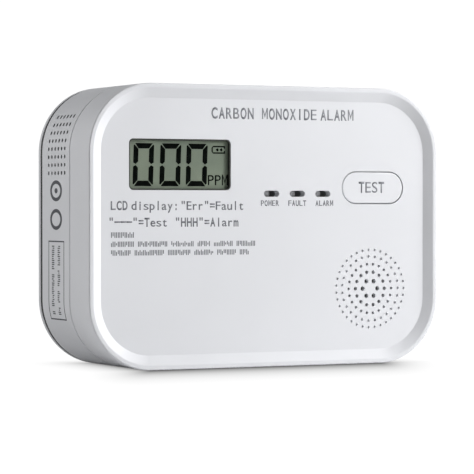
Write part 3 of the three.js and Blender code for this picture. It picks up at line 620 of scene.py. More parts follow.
def floor():
    """A round pale floor with a painted soft shadow at the alarm's foot, which only the camera
    sees.
    """
    bm = bmesh.new()
    bmesh.ops.create_circle(bm, cap_ends=True, segments=96, radius=FLOOR_R)
    obj = mesh_from("floor", bm)
    obj.location.z = FLOOR_Z * MM
    n = Surface("floor_white")
    x, y = n.across()
    front = n.math("MINIMUM", n.math("ADD", y, FOOT_Y), 0.0)
    behind = n.math("MAXIMUM", n.math("SUBTRACT", y, FOOT_Y), 0.0)
    off_line = n.math("ABSOLUTE", n.math("MULTIPLY_ADD", front, -SHADOW_LEAN, x))
    beside = n.math("MAXIMUM", n.math("SUBTRACT", off_line, FOOT_X), 0.0)
    squares = [n.math("POWER", n.math("MULTIPLY", reach, fall), 2.0)
               for reach, fall in ((front, -FRONT_FALL), (behind, BACK_FALL), (beside, SIDE_FALL))]
    away = n.math("SQRT", n.math("ADD", n.math("ADD", squares[0], squares[1]), squares[2]))
    # painted shadow: darkest at the alarm's foot, fading away from it
    painted_shadow = n.math("POWER", math.e, n.math("MULTIPLY", away, -1 / SHADOW_REACH))
    open_floor = n.math("MULTIPLY_ADD", painted_shadow, -SHADOW_DEPTH, 1.0)
    seen = n.node("LightPath").outputs["Is Camera Ray"]
    tone = n.math("MULTIPLY_ADD", seen, FLOOR_SEEN - FLOOR_WHITE, FLOOR_WHITE)
    painted_glow = n.math("MULTIPLY", n.math("MULTIPLY", open_floor, FLOOR_GLOW), seen)
    n.paint(
        Base_Color=n.node("CombineColor", Red=tone, Green=tone, Blue=tone).outputs["Color"],
        Roughness=n.spread(n.noise(4.0), 0.88, 0.92),
        Specular_IOR_Level=0.0,
        Emission_Color=(1, 1, 1),
        Emission_Strength=painted_glow,
    )
    obj.data.materials.append(n.material)


# ---- front cover

SLOT_W, SLOT_H = 5.35, 1.9
COLLAR_WALL = 0.8
COLLAR_END_Y = FACE_Y + 2.9
PARTING_ROUND = 0.22
RIM_ROUND, RIM_ROUND_DEPTH = 0.42, 0.6
HORN = centre("horn_body")
HORN_RINGS = (
    # holes, ring radius, hole radius, whether they go through
    (6, 2.63, 0.72, True),
    (14, 5.21, 0.57, True),
    (22, 7.67, 0.45, True),
    (27, 10.07, 0.42, False),
    (35, 12.15, 0.39, False),
)
DIMPLE_DEPTH = 0.7
LAMP_NAMES = ("power", "fault", "alarm")
LAMPS = [centre(f"led_{name}") for name in LAMP_NAMES]
BUTTON = centre("test_button")
BUTTON_FLANGE = 3.0
BUTTON_GAP = 0.55
BUTTON_W = BUTTON_HI.x - BUTTON_LO.x - BUTTON_FLANGE
BUTTON_H = BUTTON_HI.z - BUTTON_LO.z - BUTTON_FLANGE
WINDOW = (centre("lcd_lens")[0] + 0.1, centre("lcd_lens")[1])
WINDOW_W = LENS_HI.x - LENS_LO.x + 1.7
WINDOW_H = LENS_HI.z - LENS_LO.z + 1.5
WINDOW_R = 1.4
CASE_SCREWS = [centre(f"case_screw_{i}") for i in (1, 2, 3, 4)]


def cover_levels():
    """The cover's skin: from the inside of its face back to the parting line, round the outside
    and the rim, and down the slope to the flat face."""
    slope = DISH_DEPTH / (DISH_INSET - RIM_INSET)
    return [
        (FACE_BACK_Y, WALL),
        (PARTING_Y, WALL),
        *arc_levels(PARTING_Y, PARTING_ROUND, PARTING_Y - PARTING_ROUND, 0.0, 3, hollow=True),
        *arc_levels(RIM_Y + RIM_ROUND_DEPTH, 0.0, RIM_Y, RIM_ROUND, 6),
        # the slope's two ends are slightly rounded
        (RIM_Y, RIM_INSET - 0.2),
        (RIM_Y + 0.03, RIM_INSET),
        (RIM_Y + slope * 0.25, RIM_INSET + 0.25),
        (FACE_Y - slope * 0.12, DISH_INSET - 0.12),
        (FACE_Y, DISH_INSET + 0.02),
    ]


def front_cover():
    cover = loft("front_cover_shell", CASE_RING, cover_levels())
    holes = []
    for count, radius, hole, through in HORN_RINGS:
        depth = FACE_WALL + OVER if through else DIMPLE_DEPTH
        for u, v in around(radius, count):
            place = circle(HORN[0] + u, HORN[1] + v, hole, 20)
            holes.append(prism("hole", place, FACE_Y - OVER, FACE_Y + depth))
    slots = []
    for lamp in LAMPS:
        collar = obround(*lamp, SLOT_W + 2 * COLLAR_WALL, SLOT_H + 2 * COLLAR_WALL, 12)
        add(cover, prism("collar", collar, FACE_BACK_Y - SINK, COLLAR_END_Y))
        slots.append(prism("slot", obround(*lamp, SLOT_W, SLOT_H, 12), RIM_Y, COLLAR_END_Y + OVER))
    through = (RIM_Y, FACE_BACK_Y + OVER)
    button_hole = obround(*BUTTON, BUTTON_W + BUTTON_GAP, BUTTON_H + BUTTON_GAP)
    cut(
        cover,
        merged("horn_holes", holes),
        prism("window", rounded(*WINDOW, WINDOW_W, WINDOW_H, WINDOW_R, 12), *through),
        prism("button_hole", button_hole, *through),
        merged("lamp_slots", slots),
    )
    finish(cover, CASE_WHITE, "case", "front_cover", bevel=0.1)


# ---- rear housing

HOUSING_Y = PARTING_Y + 0.35
REAR_ROUND = 0.5
REAR_WALL_Y = REAR_Y - WALL
TONGUE_GAP, TONGUE_WALL = 0.3, 1.2
TONGUE_OUT, TONGUE_IN = 2.0, 1.5
LIP_FROM, LIP_TO = 0.3, 1.4
VENT_COLUMNS, VENT_ROWS = 6, 8
VENT_PITCH, VENT_ROW_PITCH = 2.5, 2.45
VENT_START = (-1.2, 59.2)
VENT_R, VENT_END_X = 0.62, -53.8
# the dark liners inside the vent holes, painted shade
VENT_SHADE_R, VENT_SHADE_SETBACK, VENT_SHADE_END_X = VENT_R - 0.03, 0.12, -54.5
TUBE_R, TUBE_GAP = 4.0, 0.3
POST_END_Y = COVER_HI.y
SEAT_R, SCREW_R, SCREW_SEAT_Y = 3.0, 1.6, 6.0
PLATE_POSTS = ((-50, 30), (50, 30), (-50, 58), (50, 58))
POST_X, POST_Z = 1.8, 7.2
SOCKET_GAP = 0.35
CELL_LO, CELL_HI = box_mm("battery_1")
CELL_R = (CELL_HI.z - CELL_LO.z) / 2
CELL_Y = (CELL_HI.y + CELL_LO.y) / 2
CELLS_Z = [centre(name)[1] for name in ("battery_1", "battery_2")]
CELL_GAP = 0.25
BAY_X = 29.0
BAY_WALL = 1.5
BAY_Y0 = CELL_LO.y - CELL_GAP
BAY_Z0 = CELL_LO.z - CELL_GAP
BAY_Z1 = box_mm("battery_2")[1].z + CELL_GAP
FLANGE_OUT, FLANGE_Y, FLANGE_Z0, FLANGE_UP = 3.5, 12.5, 4.9, 3.4
RIB_X, RIB_Y, RIB_HALF = 20, 2.6, 0.5
CONTACT_X, CONTACT_HALF, CONTACT_Y = 29.0, 0.8, 1.5
WIRE_HOLE_Y, WIRE_HOLE_UP, WIRE_HOLE_R = 3.2, 4, 0.9
HINGE_R = 1.45
HINGE_Y, HINGE_Z = REAR_Y - HINGE_R, 8.2
PIN_R, PIN_HOLE_R, PIN_HOLE_OUT = 0.8, 1.1, 1.9
DOOR_X = 30.0
DOOR_TOP = DOOR_HI.z
DOOR_THICK = 1.8
DOOR_SIDE_GAP = 0.4
LEDGE_Y = REAR_Y - DOOR_THICK - SOCKET_GAP
SCOOP, SCOOP_DEPTH = obround(0, DOOR_TOP + 1.5, 16, 7), 1.2


def wall_x(z):
    """Where the left wall's outside lies at height z, round the corners too."""
    rise = max(CORNER - z, z - (HEIGHT - CORNER), 0.0)
    return -(WIDTH / 2 - CORNER + math.sqrt(CORNER ** 2 - rise ** 2))


VENTS = [(VENT_START[0] + column * VENT_PITCH, VENT_START[1] + row * VENT_ROW_PITCH)
         for column in range(VENT_COLUMNS) for row in range(VENT_ROWS)]


def vent_shade_liners():
    """Dark liners just inside each vent hole: painted shade that makes the holes read dark."""
    bm = bmesh.new()
    for y, z in VENTS:
        rim = around(VENT_SHADE_R, 16)
        wrap(bm, [[(wall_x(z + v) + VENT_SHADE_SETBACK, y + u, z + v) for u, v in rim],
                  [(VENT_SHADE_END_X, y + u, z + v) for u, v in rim]])
    finish(mesh_from("vent_shade_liners", bm), VENT_SHADE, "black_plastic")


def hoop(name, y0, y1, inset):
    """A hoop between two depths, with the tongue's inside."""
    made = loft(name, CASE_RING, [(y0, inset), (y1, inset)])
    inside = WALL + TONGUE_GAP + TONGUE_WALL
    return cut(made, loft("inside", CASE_RING, [(HOUSING_Y - 3, inside), (HOUSING_Y + 3, inside)]))


def housing_shell():
    """The open shell with its tongue, battery bay, flange, rib and screw tubes."""
    outside = arc_levels(HOUSING_Y, PARTING_ROUND, HOUSING_Y + PARTING_ROUND, 0.0, 3)
    outside += arc_levels(REAR_Y - REAR_ROUND, 0.0, REAR_Y, REAR_ROUND, 5)
    shell = loft("rear_housing_shell", CASE_RING, outside)
    cut(shell, loft("hollow", CASE_RING, [(HOUSING_Y - OVER, WALL), (REAR_WALL_Y, WALL)]))
    back = REAR_WALL_Y + SINK
    out = BAY_X + BAY_WALL
    flange = BAY_X + FLANGE_OUT
    add(
        shell,
        hoop("tongue", HOUSING_Y - TONGUE_OUT, HOUSING_Y + TONGUE_IN, WALL + TONGUE_GAP),
        hoop("lip", HOUSING_Y + LIP_FROM, HOUSING_Y + LIP_TO, WALL - SINK),
        box("bay", -out, out, BAY_Y0 - BAY_WALL, back, BAY_Z0 - BAY_WALL, BAY_Z1 + BAY_WALL),
        box("flange", -flange, flange, FLANGE_Y, back, FLANGE_Z0, BAY_Z1 + FLANGE_UP),
        *(prism("tube", circle(*screw, TUBE_R, 40), POST_END_Y + TUBE_GAP, back)
          for screw in CASE_SCREWS),
    )
    cut(shell, box("bay_hollow", -BAY_X, BAY_X, BAY_Y0, REAR_Y + OVER, BAY_Z0, BAY_Z1))
    rib_z = (BAY_Z0 + BAY_Z1) / 2
    return add(shell, box("rib", -RIB_X, RIB_X, BAY_Y0 - SINK, BAY_Y0 + RIB_Y,
                          rib_z - RIB_HALF, rib_z + RIB_HALF))


def housing_cuts():
    """Everything that is cut out of the housing's back and its left wall."""
    past = REAR_Y + OVER
    door = DOOR_X + DOOR_SIDE_GAP
    barrel = HINGE_R + SOCKET_GAP
    pins = DOOR_X + PIN_HOLE_OUT
    tools = [
        box("door_opening", -door, door, LEDGE_Y, past, HINGE_Z - barrel, DOOR_TOP + SOCKET_GAP),
        box("barrel_pocket", -door, door, HINGE_Y - barrel, past,
            HINGE_Z - barrel, HINGE_Z + barrel),
        bar_x("pin_holes", HINGE_Y, HINGE_Z, PIN_HOLE_R, -pins, pins),
        prism("finger_scoop", SCOOP, REAR_Y - SCOOP_DEPTH, past),
    ]
    for x in (-CONTACT_X, CONTACT_X):
        tools.append(box("contact_slot", x - CONTACT_HALF, x + CONTACT_HALF, CONTACT_Y, LEDGE_Y,
                         BAY_Z0, BAY_Z1))
    for z in CELLS_Z:
        tools.append(bar_x("wire_hole", WIRE_HOLE_Y, z + WIRE_HOLE_UP, WIRE_HOLE_R,
                           -BAY_X - 2 * BAY_WALL, -BAY_X + OVER))
    half_x, half_z = POST_X / 2 + SOCKET_GAP, POST_Z / 2 + SOCKET_GAP
    for x, z in PLATE_POSTS:
        tools.append(box("socket", x - half_x, x + half_x, REAR_WALL_Y - OVER, past,
                         z - half_z, z + half_z))
    for screw in CASE_SCREWS:
        tools += [prism("seat", circle(*screw, SEAT_R, 40), SCREW_SEAT_Y, past),
                  prism("screw_hole", circle(*screw, SCREW_R), POST_END_Y - OVER,
                        SCREW_SEAT_Y + OVER)]
    tools.append(merged("vents", [bar_x("vent", y, z, VENT_R, -WIDTH / 2 - OVER, VENT_END_X, 16)
                                  for y, z in VENTS]))
    return tools


def rear_housing():
    shell = housing_shell()
    cut(shell, *housing_cuts())
    finish(shell, CASE_WHITE, "case", "rear_housing", bevel=0.08)


# ---- wall plate

KEYHOLES = ((-30, 60), (30, 60))
KEYHOLE_R, KEY_SLOT_UP, KEY_SLOT_W, KEY_SLOT_H = 4.2, 4, 4.2, 12.2
PLATE_HOLES = [circle(x, 44, 2.1, 32) for x in (-47, 47)]
PLATE_WINDOW = rounded(0, 26.4, 68, 41.2, 3.0, 12)
SPACERS = [circle(x, 74, 3.0, 32) for x in (-16, 16)]
NOTCH = obround(0, 0, 14, 4)
GROOVE_DEPTH = 0.4
# the dark ring in the groove behind the case, painted shade
GROOVE_SHADE_GAP, GROOVE_SHADE_CHAMFER, GROOVE_SHADE_INSET = 0.12, 0.12, 0.13


def mounting_plate():
    plate = loft("mounting_plate_panel", CASE_RING,
                 round_levels(PLATE_FRONT_Y, PLATE_BACK_Y, 0.15, 0.4, 4))
    for x, z in PLATE_POSTS:
        add(plate, prism("post", rounded(x, z, POST_X, POST_Z, 0.3, 4), PLATE_LO.y,
                         PLATE_FRONT_Y + SINK))
    for ring in SPACERS:
        add(plate, prism("spacer", ring, REAR_Y + 0.1, PLATE_FRONT_Y + SINK))
    past = PLATE_BACK_Y + OVER
    through = (PLATE_FRONT_Y - OVER, past)
    tools = [prism("window", PLATE_WINDOW, *through)]
    for x, z in KEYHOLES:
        slot = rounded(x, z + KEY_SLOT_UP, KEY_SLOT_W, KEY_SLOT_H, KEY_SLOT_W / 2, 12)
        tools.append(add(prism("keyhole", circle(x, z, KEYHOLE_R, 48), *through),
                         prism("slot", slot, *through)))
    tools += [prism("hole", ring, *through) for ring in (*PLATE_HOLES, NOTCH)]
    groove = loft("groove", CASE_RING, [(PLATE_BACK_Y - GROOVE_DEPTH, 5.0), (past, 4.6)])
    island = loft("island", CASE_RING, [(PLATE_BACK_Y - OVER, 6.2), (past, 6.6)])
    cut(plate, *tools, cut(groove, island))
    finish(plate, CASE_WHITE, "case", "mounting_plate", body="wall_plate", bevel=0.2)


def plate_groove_shade():
    """A thin dark ring round the plate's edge, in the groove behind the case: painted shade that
    makes the groove read dark.
    """
    y0, y1 = REAR_Y + GROOVE_SHADE_GAP, PLATE_FRONT_Y - 0.03
    groove_shade = loft("plate_groove_shade", CASE_RING, [(y0, GROOVE_SHADE_INSET + GROOVE_SHADE_CHAMFER),
                                            (y0 + GROOVE_SHADE_CHAMFER, GROOVE_SHADE_INSET), (y1, GROOVE_SHADE_INSET)])
    cut(groove_shade, loft("inside", CASE_RING, [(y0 - OVER, WALL), (y1 + OVER, WALL)]),
        prism("notch", NOTCH, y0 - OVER, y1 + OVER))
    finish(groove_shade, RUBBER_AND_GROOVE_SHADE, "rubber", body="wall_plate")


# ---- battery door, cells and contacts

SLIT_X, SLIT_HALF, SLIT_LENGTH = 7, 0.4, 8
GRIP_HALF_X, GRIP_HALF, GRIP_DEPTH, GRIP_DOWN, GRIP_PITCH = 5, 0.4, 0.5, 2.2, 1.8
ARROW = [(-5.0, 32.0), (5.0, 32.0), (0, 25.0)]
ARROW_DEPTH = 0.7


def battery_door():
    past = REAR_Y + OVER
    panel = box("battery_door_panel", -DOOR_X, DOOR_X, REAR_Y - DOOR_THICK, REAR_Y,
                HINGE_Z, DOOR_TOP)
    add(panel, bar_x("barrel", HINGE_Y, HINGE_Z, HINGE_R, -DOOR_X, DOOR_X, 48),
        bar_x("pins", HINGE_Y, HINGE_Z, PIN_R, DOOR_LO.x, DOOR_HI.x, 32))
    for x in (-SLIT_X, SLIT_X):
        cut(panel, box("slit", x - SLIT_HALF, x + SLIT_HALF, REAR_Y - 3, past,
                       DOOR_TOP - SLIT_LENGTH, DOOR_TOP + OVER))
    for i in range(3):
        z = DOOR_TOP - GRIP_DOWN - i * GRIP_PITCH
        cut(panel, box("groove", -GRIP_HALF_X, GRIP_HALF_X, REAR_Y - GRIP_DEPTH, past,
                       z - GRIP_HALF, z + GRIP_HALF))
    cut(panel, prism("arrow", polygon(ARROW), REAR_Y - ARROW_DEPTH, past))
    finish(panel, CASE_WHITE, "case", "battery_door", body="door", bevel=0.18)


def battery_pad():
    low, high = box_mm("battery_pad")
    size, (cx, _, cz) = high - low, (low + high) / 2
    pad = loft("battery_foam", rounded(cx, cz, size.x, size.z, 1.5, 8),
               round_levels(low.y, high.y, 0.25, 0.1, 3))
    finish(pad, FOAM, "foam", "battery_pad", body="door")


# ---- test button

EDGE_R = 0.34
FLANGE_FROM, FLANGE_TO = 0.35, 1.5
STEM_R = 2.0


def test_button():
    top = BUTTON_LO.y
    levels = arc_levels(top + EDGE_R, 0.0, top, EDGE_R, 5)[::-1] + [(FACE_BACK_Y + 1.4, 0.0)]
    cap = loft("test_button_cap", obround(*BUTTON, BUTTON_W, BUTTON_H), levels)
    flange = obround(*BUTTON, BUTTON_W + BUTTON_FLANGE, BUTTON_H + BUTTON_FLANGE)
    add(cap, prism("flange", flange, FACE_BACK_Y + FLANGE_FROM, FACE_BACK_Y + FLANGE_TO),
        prism("stem", circle(*BUTTON, STEM_R, 32), FACE_BACK_Y + 1, BUTTON_HI.y))
    finish(cap, BUTTON_WHITE, "button", "test_button", body="button")


# ---- print

PRINT_THICK = 0.02
FINE_MERGE = 1e-6
CAP_WIDTH, CAP_HEIGHT = 0.62, 0.73  # a capital of the built-in font, in font units
STEM = 0.075  # its stroke
LETTER_SHARE = 0.84  # how much of its pitch a letter fills
SHARES = {"-": 0.95, "r": 0.7, "t": 0.7, "f": 0.7, '"': 0.56}
NARROWEST = 0.24  # a narrower letter keeps the scale of a capital
THINNEST, BOLDEST = -0.012, 0.03  # limits of a letter's offset
ZIGZAG_DIP = 0.3  # how high above the foot an M's middle stops


def inked(name, bm, merge, material, slot="case", body="case"):
    obj = mesh_from(name, bm, merge)
    obj.data.materials.append(material)
    stand_for(obj, slot, body=body)


def flat_shapes(name, shapes, y, *ink):
    """Thin printed shapes, each a list of (x, z) corners, on a face that looks along -Y."""
    bm = bmesh.new()
    for points in shapes:
        wrap(bm, [[(x, y - PRINT_THICK, z) for x, z in points], [(x, y, z) for x, z in points]])
    inked(name, bm, FINE_MERGE, *ink)


def glyph_mesh(letter, weight=0.0):
    """One letter of the built-in font as a flat mesh, in font units."""
    curve = bpy.data.curves.new("letter", "FONT")
    curve.body = letter
    curve.resolution_u = 6
    curve.offset = weight
    glyph = new_object("letter", curve)
    graph = bpy.context.evaluated_depsgraph_get()
    mesh = bpy.data.meshes.new_from_object(glyph.evaluated_get(graph))
    bpy.data.objects.remove(glyph)
    return mesh


def zigzag_mesh(letter, stroke):
    """An M or a W as one outline, as the font's own fills in. stroke is a share of its width."""
    slope = (1 - ZIGZAG_DIP) / (0.5 - 0.6 * stroke)
    drop = stroke * slope * 0.8
    left = [(0, 0), (0, 1), (stroke * 0.9, 1)]
    notch = (0.5, ZIGZAG_DIP + drop * 0.35)
    point = (0.5, ZIGZAG_DIP - drop * 0.65)
    inside = [(stroke, 1 - drop), (stroke, 0)]
    points = left + [notch] + [(1 - x, z) for x, z in reversed(left)]
    points += [(1 - x, z) for x, z in reversed(inside)] + [point] + inside
    if letter == "W":
        points = [(x, 1 - z) for x, z in points]
    bm = bmesh.new()
    corners = [bm.verts.new((x * CAP_WIDTH, z * CAP_HEIGHT, 0)) for x, z in points]
    edges = [bm.edges.new((corners[i], corners[i - 1])) for i in range(len(corners))]
    bmesh.ops.triangle_fill(bm, use_beauty=True, use_dissolve=False, edges=edges)
    return to_mesh("letter", bm)


def span(mesh, axis):
    values = [v.co[axis] for v in mesh.vertices]
    return min(values), max(values)


def letter_mesh(letter, room, tall, stroke):
    """A letter whose strokes are right once it is room wide and its font units are tall high."""
    if letter in "MW":
        return zigzag_mesh(letter, stroke / room)
    plain = glyph_mesh(letter)
    left, right = span(plain, 0)
    bpy.data.meshes.remove(plain)
    wide = right - left if right - left > NARROWEST or letter in SHARES else CAP_WIDTH
    unit = tall if letter in "-=" else room / wide
    weight = (stroke / unit - STEM) / 2
    return glyph_mesh(letter, min(max(weight, THINNEST), BOLDEST))


def words(placed, z, stroke):
    """Flat, evenly pitched words, each (text, left, right), with capitals between both heights."""
    bm = bmesh.new()
    tall = (z[1] - z[0]) / CAP_HEIGHT
    for text, x0, x1 in placed:
        pitch = (x1 - x0) / len(text)
        for i, letter in enumerate(text):
            room = pitch * SHARES.get(letter, LETTER_SHARE)
            mesh = letter_mesh(letter, room, tall, stroke)
            left, right = span(mesh, 0)
            low, high = span(mesh, 1)
            wide = right - left
            if letter not in SHARES and wide < NARROWEST + 2 * BOLDEST:
                wide = CAP_WIDTH
            foot = (z[0] + z[1] - (low + high) * tall) / 2 if letter == "-" else z[0]
            for v in mesh.vertices:
                u = (v.co.x - (left + right) / 2) * room / wide
                v.co = (x0 + pitch * (i + 0.5) + u, 0, foot + v.co.y * tall)
            bm.from_mesh(mesh)
            bpy.data.meshes.remove(mesh)
    return bm


def printed(name, bm, y, *ink):
    """Gives flat lettering a little thickness in front of the face at y."""
    for v in bm.verts:
        v.co.y = y
    bmesh.ops.remove_doubles(bm, verts=bm.verts, dist=1e-4)
    made = bmesh.ops.extrude_face_region(bm, geom=list(bm.faces))
    for item in made["geom"]:
        if isinstance(item, bmesh.types.BMVert):
            item.co.y -= PRINT_THICK
    inked(name, bm, 1e-5, *ink)


MARK_WIDE, MARK_STEP = 0.28, 0.47  # shares of the pitch
MARK_SHORT = 0.3  # share of the height that a short stroke lacks


def small_print(x0, x1, z0, z1, seed, pitch):
    """Plain upright strokes in word-like groups, in place of small print."""
    draw = random.Random(seed)
    strokes = []
    x, left = x0, draw.randint(3, 8)
    while x + pitch <= x1:
        if left == 0:
            left = draw.randint(3, 9)
        else:
            for step in (0, MARK_STEP):
                a = x + pitch * step
                b = a + pitch * MARK_WIDE
                low = z0 + (z1 - z0) * draw.choice((0, 0, 0, 0, MARK_SHORT))
                high = z1 - (z1 - z0) * draw.choice((0, 0, 0, MARK_SHORT))
                strokes.append([(a, low), (b, low), (b, high), (a, high)])
            left -= 1
        x += pitch
    return strokes


LIFT = 0.005  # keeps the print's back just inside the surface
LAMP_LABEL = (-3.35, 3.1)
LAMP_LABEL_SHIFTS = (-0.45, 0.1, 0.65)
LINES = (
    # name, words with their left and right ends, foot and head, stroke, ink
    ("title", (("CARBON", -19.2, -4.4), ("MONOXIDE", -2.0, 17.5), ("ALARM", 18.5, 30.6)),
     (75.8, 79.2), 0.43, PALE_INK),
    *((name, ((name.upper(), *(lamp[0] + end + shift for end in LAMP_LABEL)),),
       (49.25, 51.0), 0.24, INK)
      for name, lamp, shift in zip(LAMP_NAMES, LAMPS, LAMP_LABEL_SHIFTS)),
    ("legend_upper", (("LCD", -52.55, -46.75), ("display:", -45.8, -29.9),
                      ('"Err"=Fault', -29.5, -7.95)), (48.05, 50.75), 0.4, INK),
    ("legend_lower", (('"---"=Test', -53.2, -33.7), ('"HHH"=Alarm', -31.4, -9.7)),
     (43.05, 45.75), 0.4, INK),
)
TEST_LINE = ((("TEST", 32.15, 41.7),), (53.4, 56.9), 0.44)
MARK_PITCH = 1.1
MARK_ROWS = (
    # left, right, foot, head, seed
    (-52.3, -43.5, 39.7, 41.35, 5),
    (-52.3, -3.7, 37.0, 38.6, 6),
    (-52.3, -5.5, 34.4, 36.0, 9),
)


def face_print():
    y = FACE_Y + LIFT
    for name, placed, z, stroke, ink in LINES:
        printed(f"print_{name}", words(placed, z, stroke), y, ink)
    marks = [shape for row in MARK_ROWS for shape in small_print(*row, MARK_PITCH)]
    flat_shapes("print_small_marks", marks, y, INK)
    printed("print_test", words(*TEST_LINE), BUTTON_LO.y + LIFT, PALE_INK, "button", "button")


LABEL_Y = (-0.75, 11.45)
LABEL_Z = (14.5, 38.6)
LABEL_LINE = 0.4
LABEL_COLUMNS = ((2.4, 7), (6.9, 12))  # where each starts across the label, and its seed
LABEL_PITCH, LABEL_MARK = 1.25, 1.9
LABEL_TOP, LABEL_FOOT = 1.5, 1.0
SIDE_LIFT = 0.004
SIDE_STEP = 0.8
SIGN_Y = 5.5
SIGN_OUTER, SIGN_INNER, SIGN_DOT = (4.6, 3.2), (3.3, 2.1), (1.2, 0.8)
SIGNS = ((53.8, SIGN_OUTER, SIGN_INNER), (45.1, SIGN_OUTER, SIGN_INNER), (53.8, SIGN_DOT, None))


def side_strip(bm, y0, y1, z0, z1):
    """A thin printed strip on the left wall, following it round the corner."""
    steps = max(1, math.ceil((z1 - z0) / SIDE_STEP))
    sections = []
    for k in range(steps + 1):
        z = z0 + (z1 - z0) * k / steps
        x = wall_x(z) + SIDE_LIFT
        out = x - PRINT_THICK
        sections.append([(x, y0, z), (x, y1, z), (out, y1, z), (out, y0, z)])
    wrap(bm, sections)


def oval(z, across, up, thick):
    x = -WIDTH / 2 + SIDE_LIFT - thick
    return [(x, SIGN_Y + across * u, z + up * v) for u, v in around(1, 48)]


def side_print():
    """An outlined label with marks instead of words, and two plain roundels."""
    bm = bmesh.new()
    y0, y1 = LABEL_Y
    z0, z1 = LABEL_Z
    t = LABEL_LINE
    side_strip(bm, y0, y0 + t, z0, z1)
    side_strip(bm, y1 - t, y1, z0, z1)
    side_strip(bm, y0 + t, y1 - t, z0, z0 + t)
    side_strip(bm, y0 + t, y1 - t, z1 - t, z1)
    length = z1 - z0 - LABEL_TOP - LABEL_FOOT
    for at, seed in LABEL_COLUMNS:
        for (a, low), _, (b, high), _ in small_print(0, length, 0, LABEL_MARK, seed, LABEL_PITCH):
            side_strip(bm, at + low, at + high, z1 - LABEL_TOP - b, z1 - LABEL_TOP - a)
    for z, outer, inner in SIGNS:
        sections = [oval(z, *outer, PRINT_THICK), oval(z, *outer, 0)]
        if inner:
            sections += [oval(z, *inner, 0), oval(z, *inner, PRINT_THICK)]
        wrap(bm, sections, capped=not inner)
    inked("print_side", bm, FINE_MERGE, SIDE_INK)


# ---- display

PANEL_Y = -17.1
SEGMENT, SEGMENT_GAP = 1.6, 0.16
SLANT = 0.033
DIGITS = ((-44.57, -37.84), (-35.75, -28.82), (-26.98, -19.93))
DIGIT_Z = (55.15, 68.0)
BATTERY = (-18.46, -13.86, 65.05, 67.45)
BATTERY_LINE, BATTERY_CORNER = 0.45, 0.6
UNIT_LINE = ((("PPM", -19.89, -12.75),), (55.5, 58.75), 0.36)
BEZEL_FIT, BEZEL_LINING = 0.12, 0.3
POCKET_GAP = 0.2


def with_mirrored(shapes, z0, z1):
    """The shapes, and the same upside down between z0 and z1."""
    return shapes + [[(x, z0 + z1 - z) for x, z in shape] for shape in shapes]


def digit_segments(x0, x1, z0, z1):
    """The six lit segments of a zero, with mitred ends."""
    t, gap = SEGMENT, SEGMENT_GAP
    mid = (z0 + z1) / 2
    top = [(x0 + gap + 0.3, z1), (x1 - gap - 0.3, z1),
           (x1 - t - gap * 0.3, z1 - t), (x0 + t + gap * 0.3, z1 - t)]
    left = [(x0, z1 - gap - 0.5), (x0 + 0.25, z1 - gap - 0.25), (x0 + t, z1 - t - gap),
            (x0 + t, mid + gap + 0.75), (x0 + t / 2, mid + gap), (x0, mid + gap + 0.45)]
    right = [(x0 + x1 - x, z) for x, z in left]
    shapes = with_mirrored([top, left, right], z0, z1)
    return [[(x + SLANT * (z - mid), z) for x, z in shape] for shape in shapes]


def battery_sign(x0, x1, z0, z1):
    """A cell's outline with its cap on the left and two arrow heads inside."""
    t, c = BATTERY_LINE, BATTERY_CORNER
    mid = (z0 + z1) / 2
    half = [(x0 + c, z0), (x1, z0), (x1, z0 + t), (x0 + c, z0 + t),
            (x0 + t, z0 + c), (x0 + t, mid), (x0, mid), (x0, z0 + c)]
    end = [(x1 - t, z0 + t), (x1, z0 + t), (x1, z0 + 2.2 * t), (x1 - t, z0 + 1.6 * t)]
    shapes = with_mirrored([half, end], z0, z1)
    for a in (x0 + 1.35, x0 + 2.65):
        shapes.append([(a, mid), (a + 0.75, mid - 0.55), (a + 1.05, mid - 0.2),
                       (a + 1.05, mid + 0.2), (a + 0.75, mid + 0.55)])
    return shapes


def window_ring(inset):
    return rounded(*WINDOW, WINDOW_W - 2 * inset, WINDOW_H - 2 * inset, WINDOW_R - inset, 12)


def display():
    low, high = GLASS_LO, GLASS_HI
    size, holder = high - low, HOLDER_HI - HOLDER_LO
    inside = BEZEL_FIT + BEZEL_LINING
    glass = loft("lcd_panel", rounded(*WINDOW, size.x, size.z, 0.4, 4),
                 round_levels(low.y, high.y, 0.15, 0.15, 2))
    raised = 2 * inside + 0.1
    face = rounded(*WINDOW, WINDOW_W - raised, WINDOW_H - raised, 0.9, 12)
    add(glass, prism("raised_face", face, PANEL_Y, low.y + SINK))
    finish(glass, DISPLAY, "lcd", "lcd_glass")

    y = PANEL_Y - 0.004
    shapes = [shape for ends in DIGITS for shape in digit_segments(*ends, *DIGIT_Z)]
    flat_shapes("lcd_digits", shapes + battery_sign(*BATTERY), y, LCD_BLACK, "lcd")
    printed("lcd_unit", words(*UNIT_LINE), y, LCD_BLACK, "lcd")

    bezel = loft("lcd_bezel", window_ring(BEZEL_FIT),
                 round_levels(HOLDER_LO.y, low.y, 0.1, 0.01, 2))
    add(bezel, prism("flange", rounded(*WINDOW, holder.x, holder.z, 0.6, 8),
                     FACE_BACK_Y + 0.15, HOLDER_HI.y))
    gap = POCKET_GAP
    cut(bezel, box("pocket", low.x - gap, high.x + gap, low.y - 0.1, HOLDER_HI.y + SINK,
                   low.z - gap, high.z + gap),
        prism("sight", window_ring(inside), RIM_Y, low.y + OVER))
    finish(bezel, SMOKE, "holder", "lcd_holder", bevel=0.05)

    lens = loft("lcd_window", window_ring(inside + 0.1),
                round_levels(LENS_LO.y, LENS_HI.y, 0.12, 0.05, 3))
    finish(lens, CLEAR, "lens", "lcd_lens")


# ---- lamps

SHROUD_CELL = (6.4, 4.2, 0.5)
LAMP_R, LAMP_FLANGE_R, LAMP_FLANGE = 1.5, 1.88, 0.9
# the metal inside a lamp, with depths from its tip
CUP_X, CUP = -0.45, ((0, 1.9), (0.3, 1.9), (0.62, 1.5), (0.7, 1.5), (0.7, 2.4), (0, 2.7))
CUP_LEG = (-0.7, -0.2, 2.3)
POST_LEG = (0.25, 0.75, 2.2)
LEG_HALF, LEG_END = 0.22, 0.2


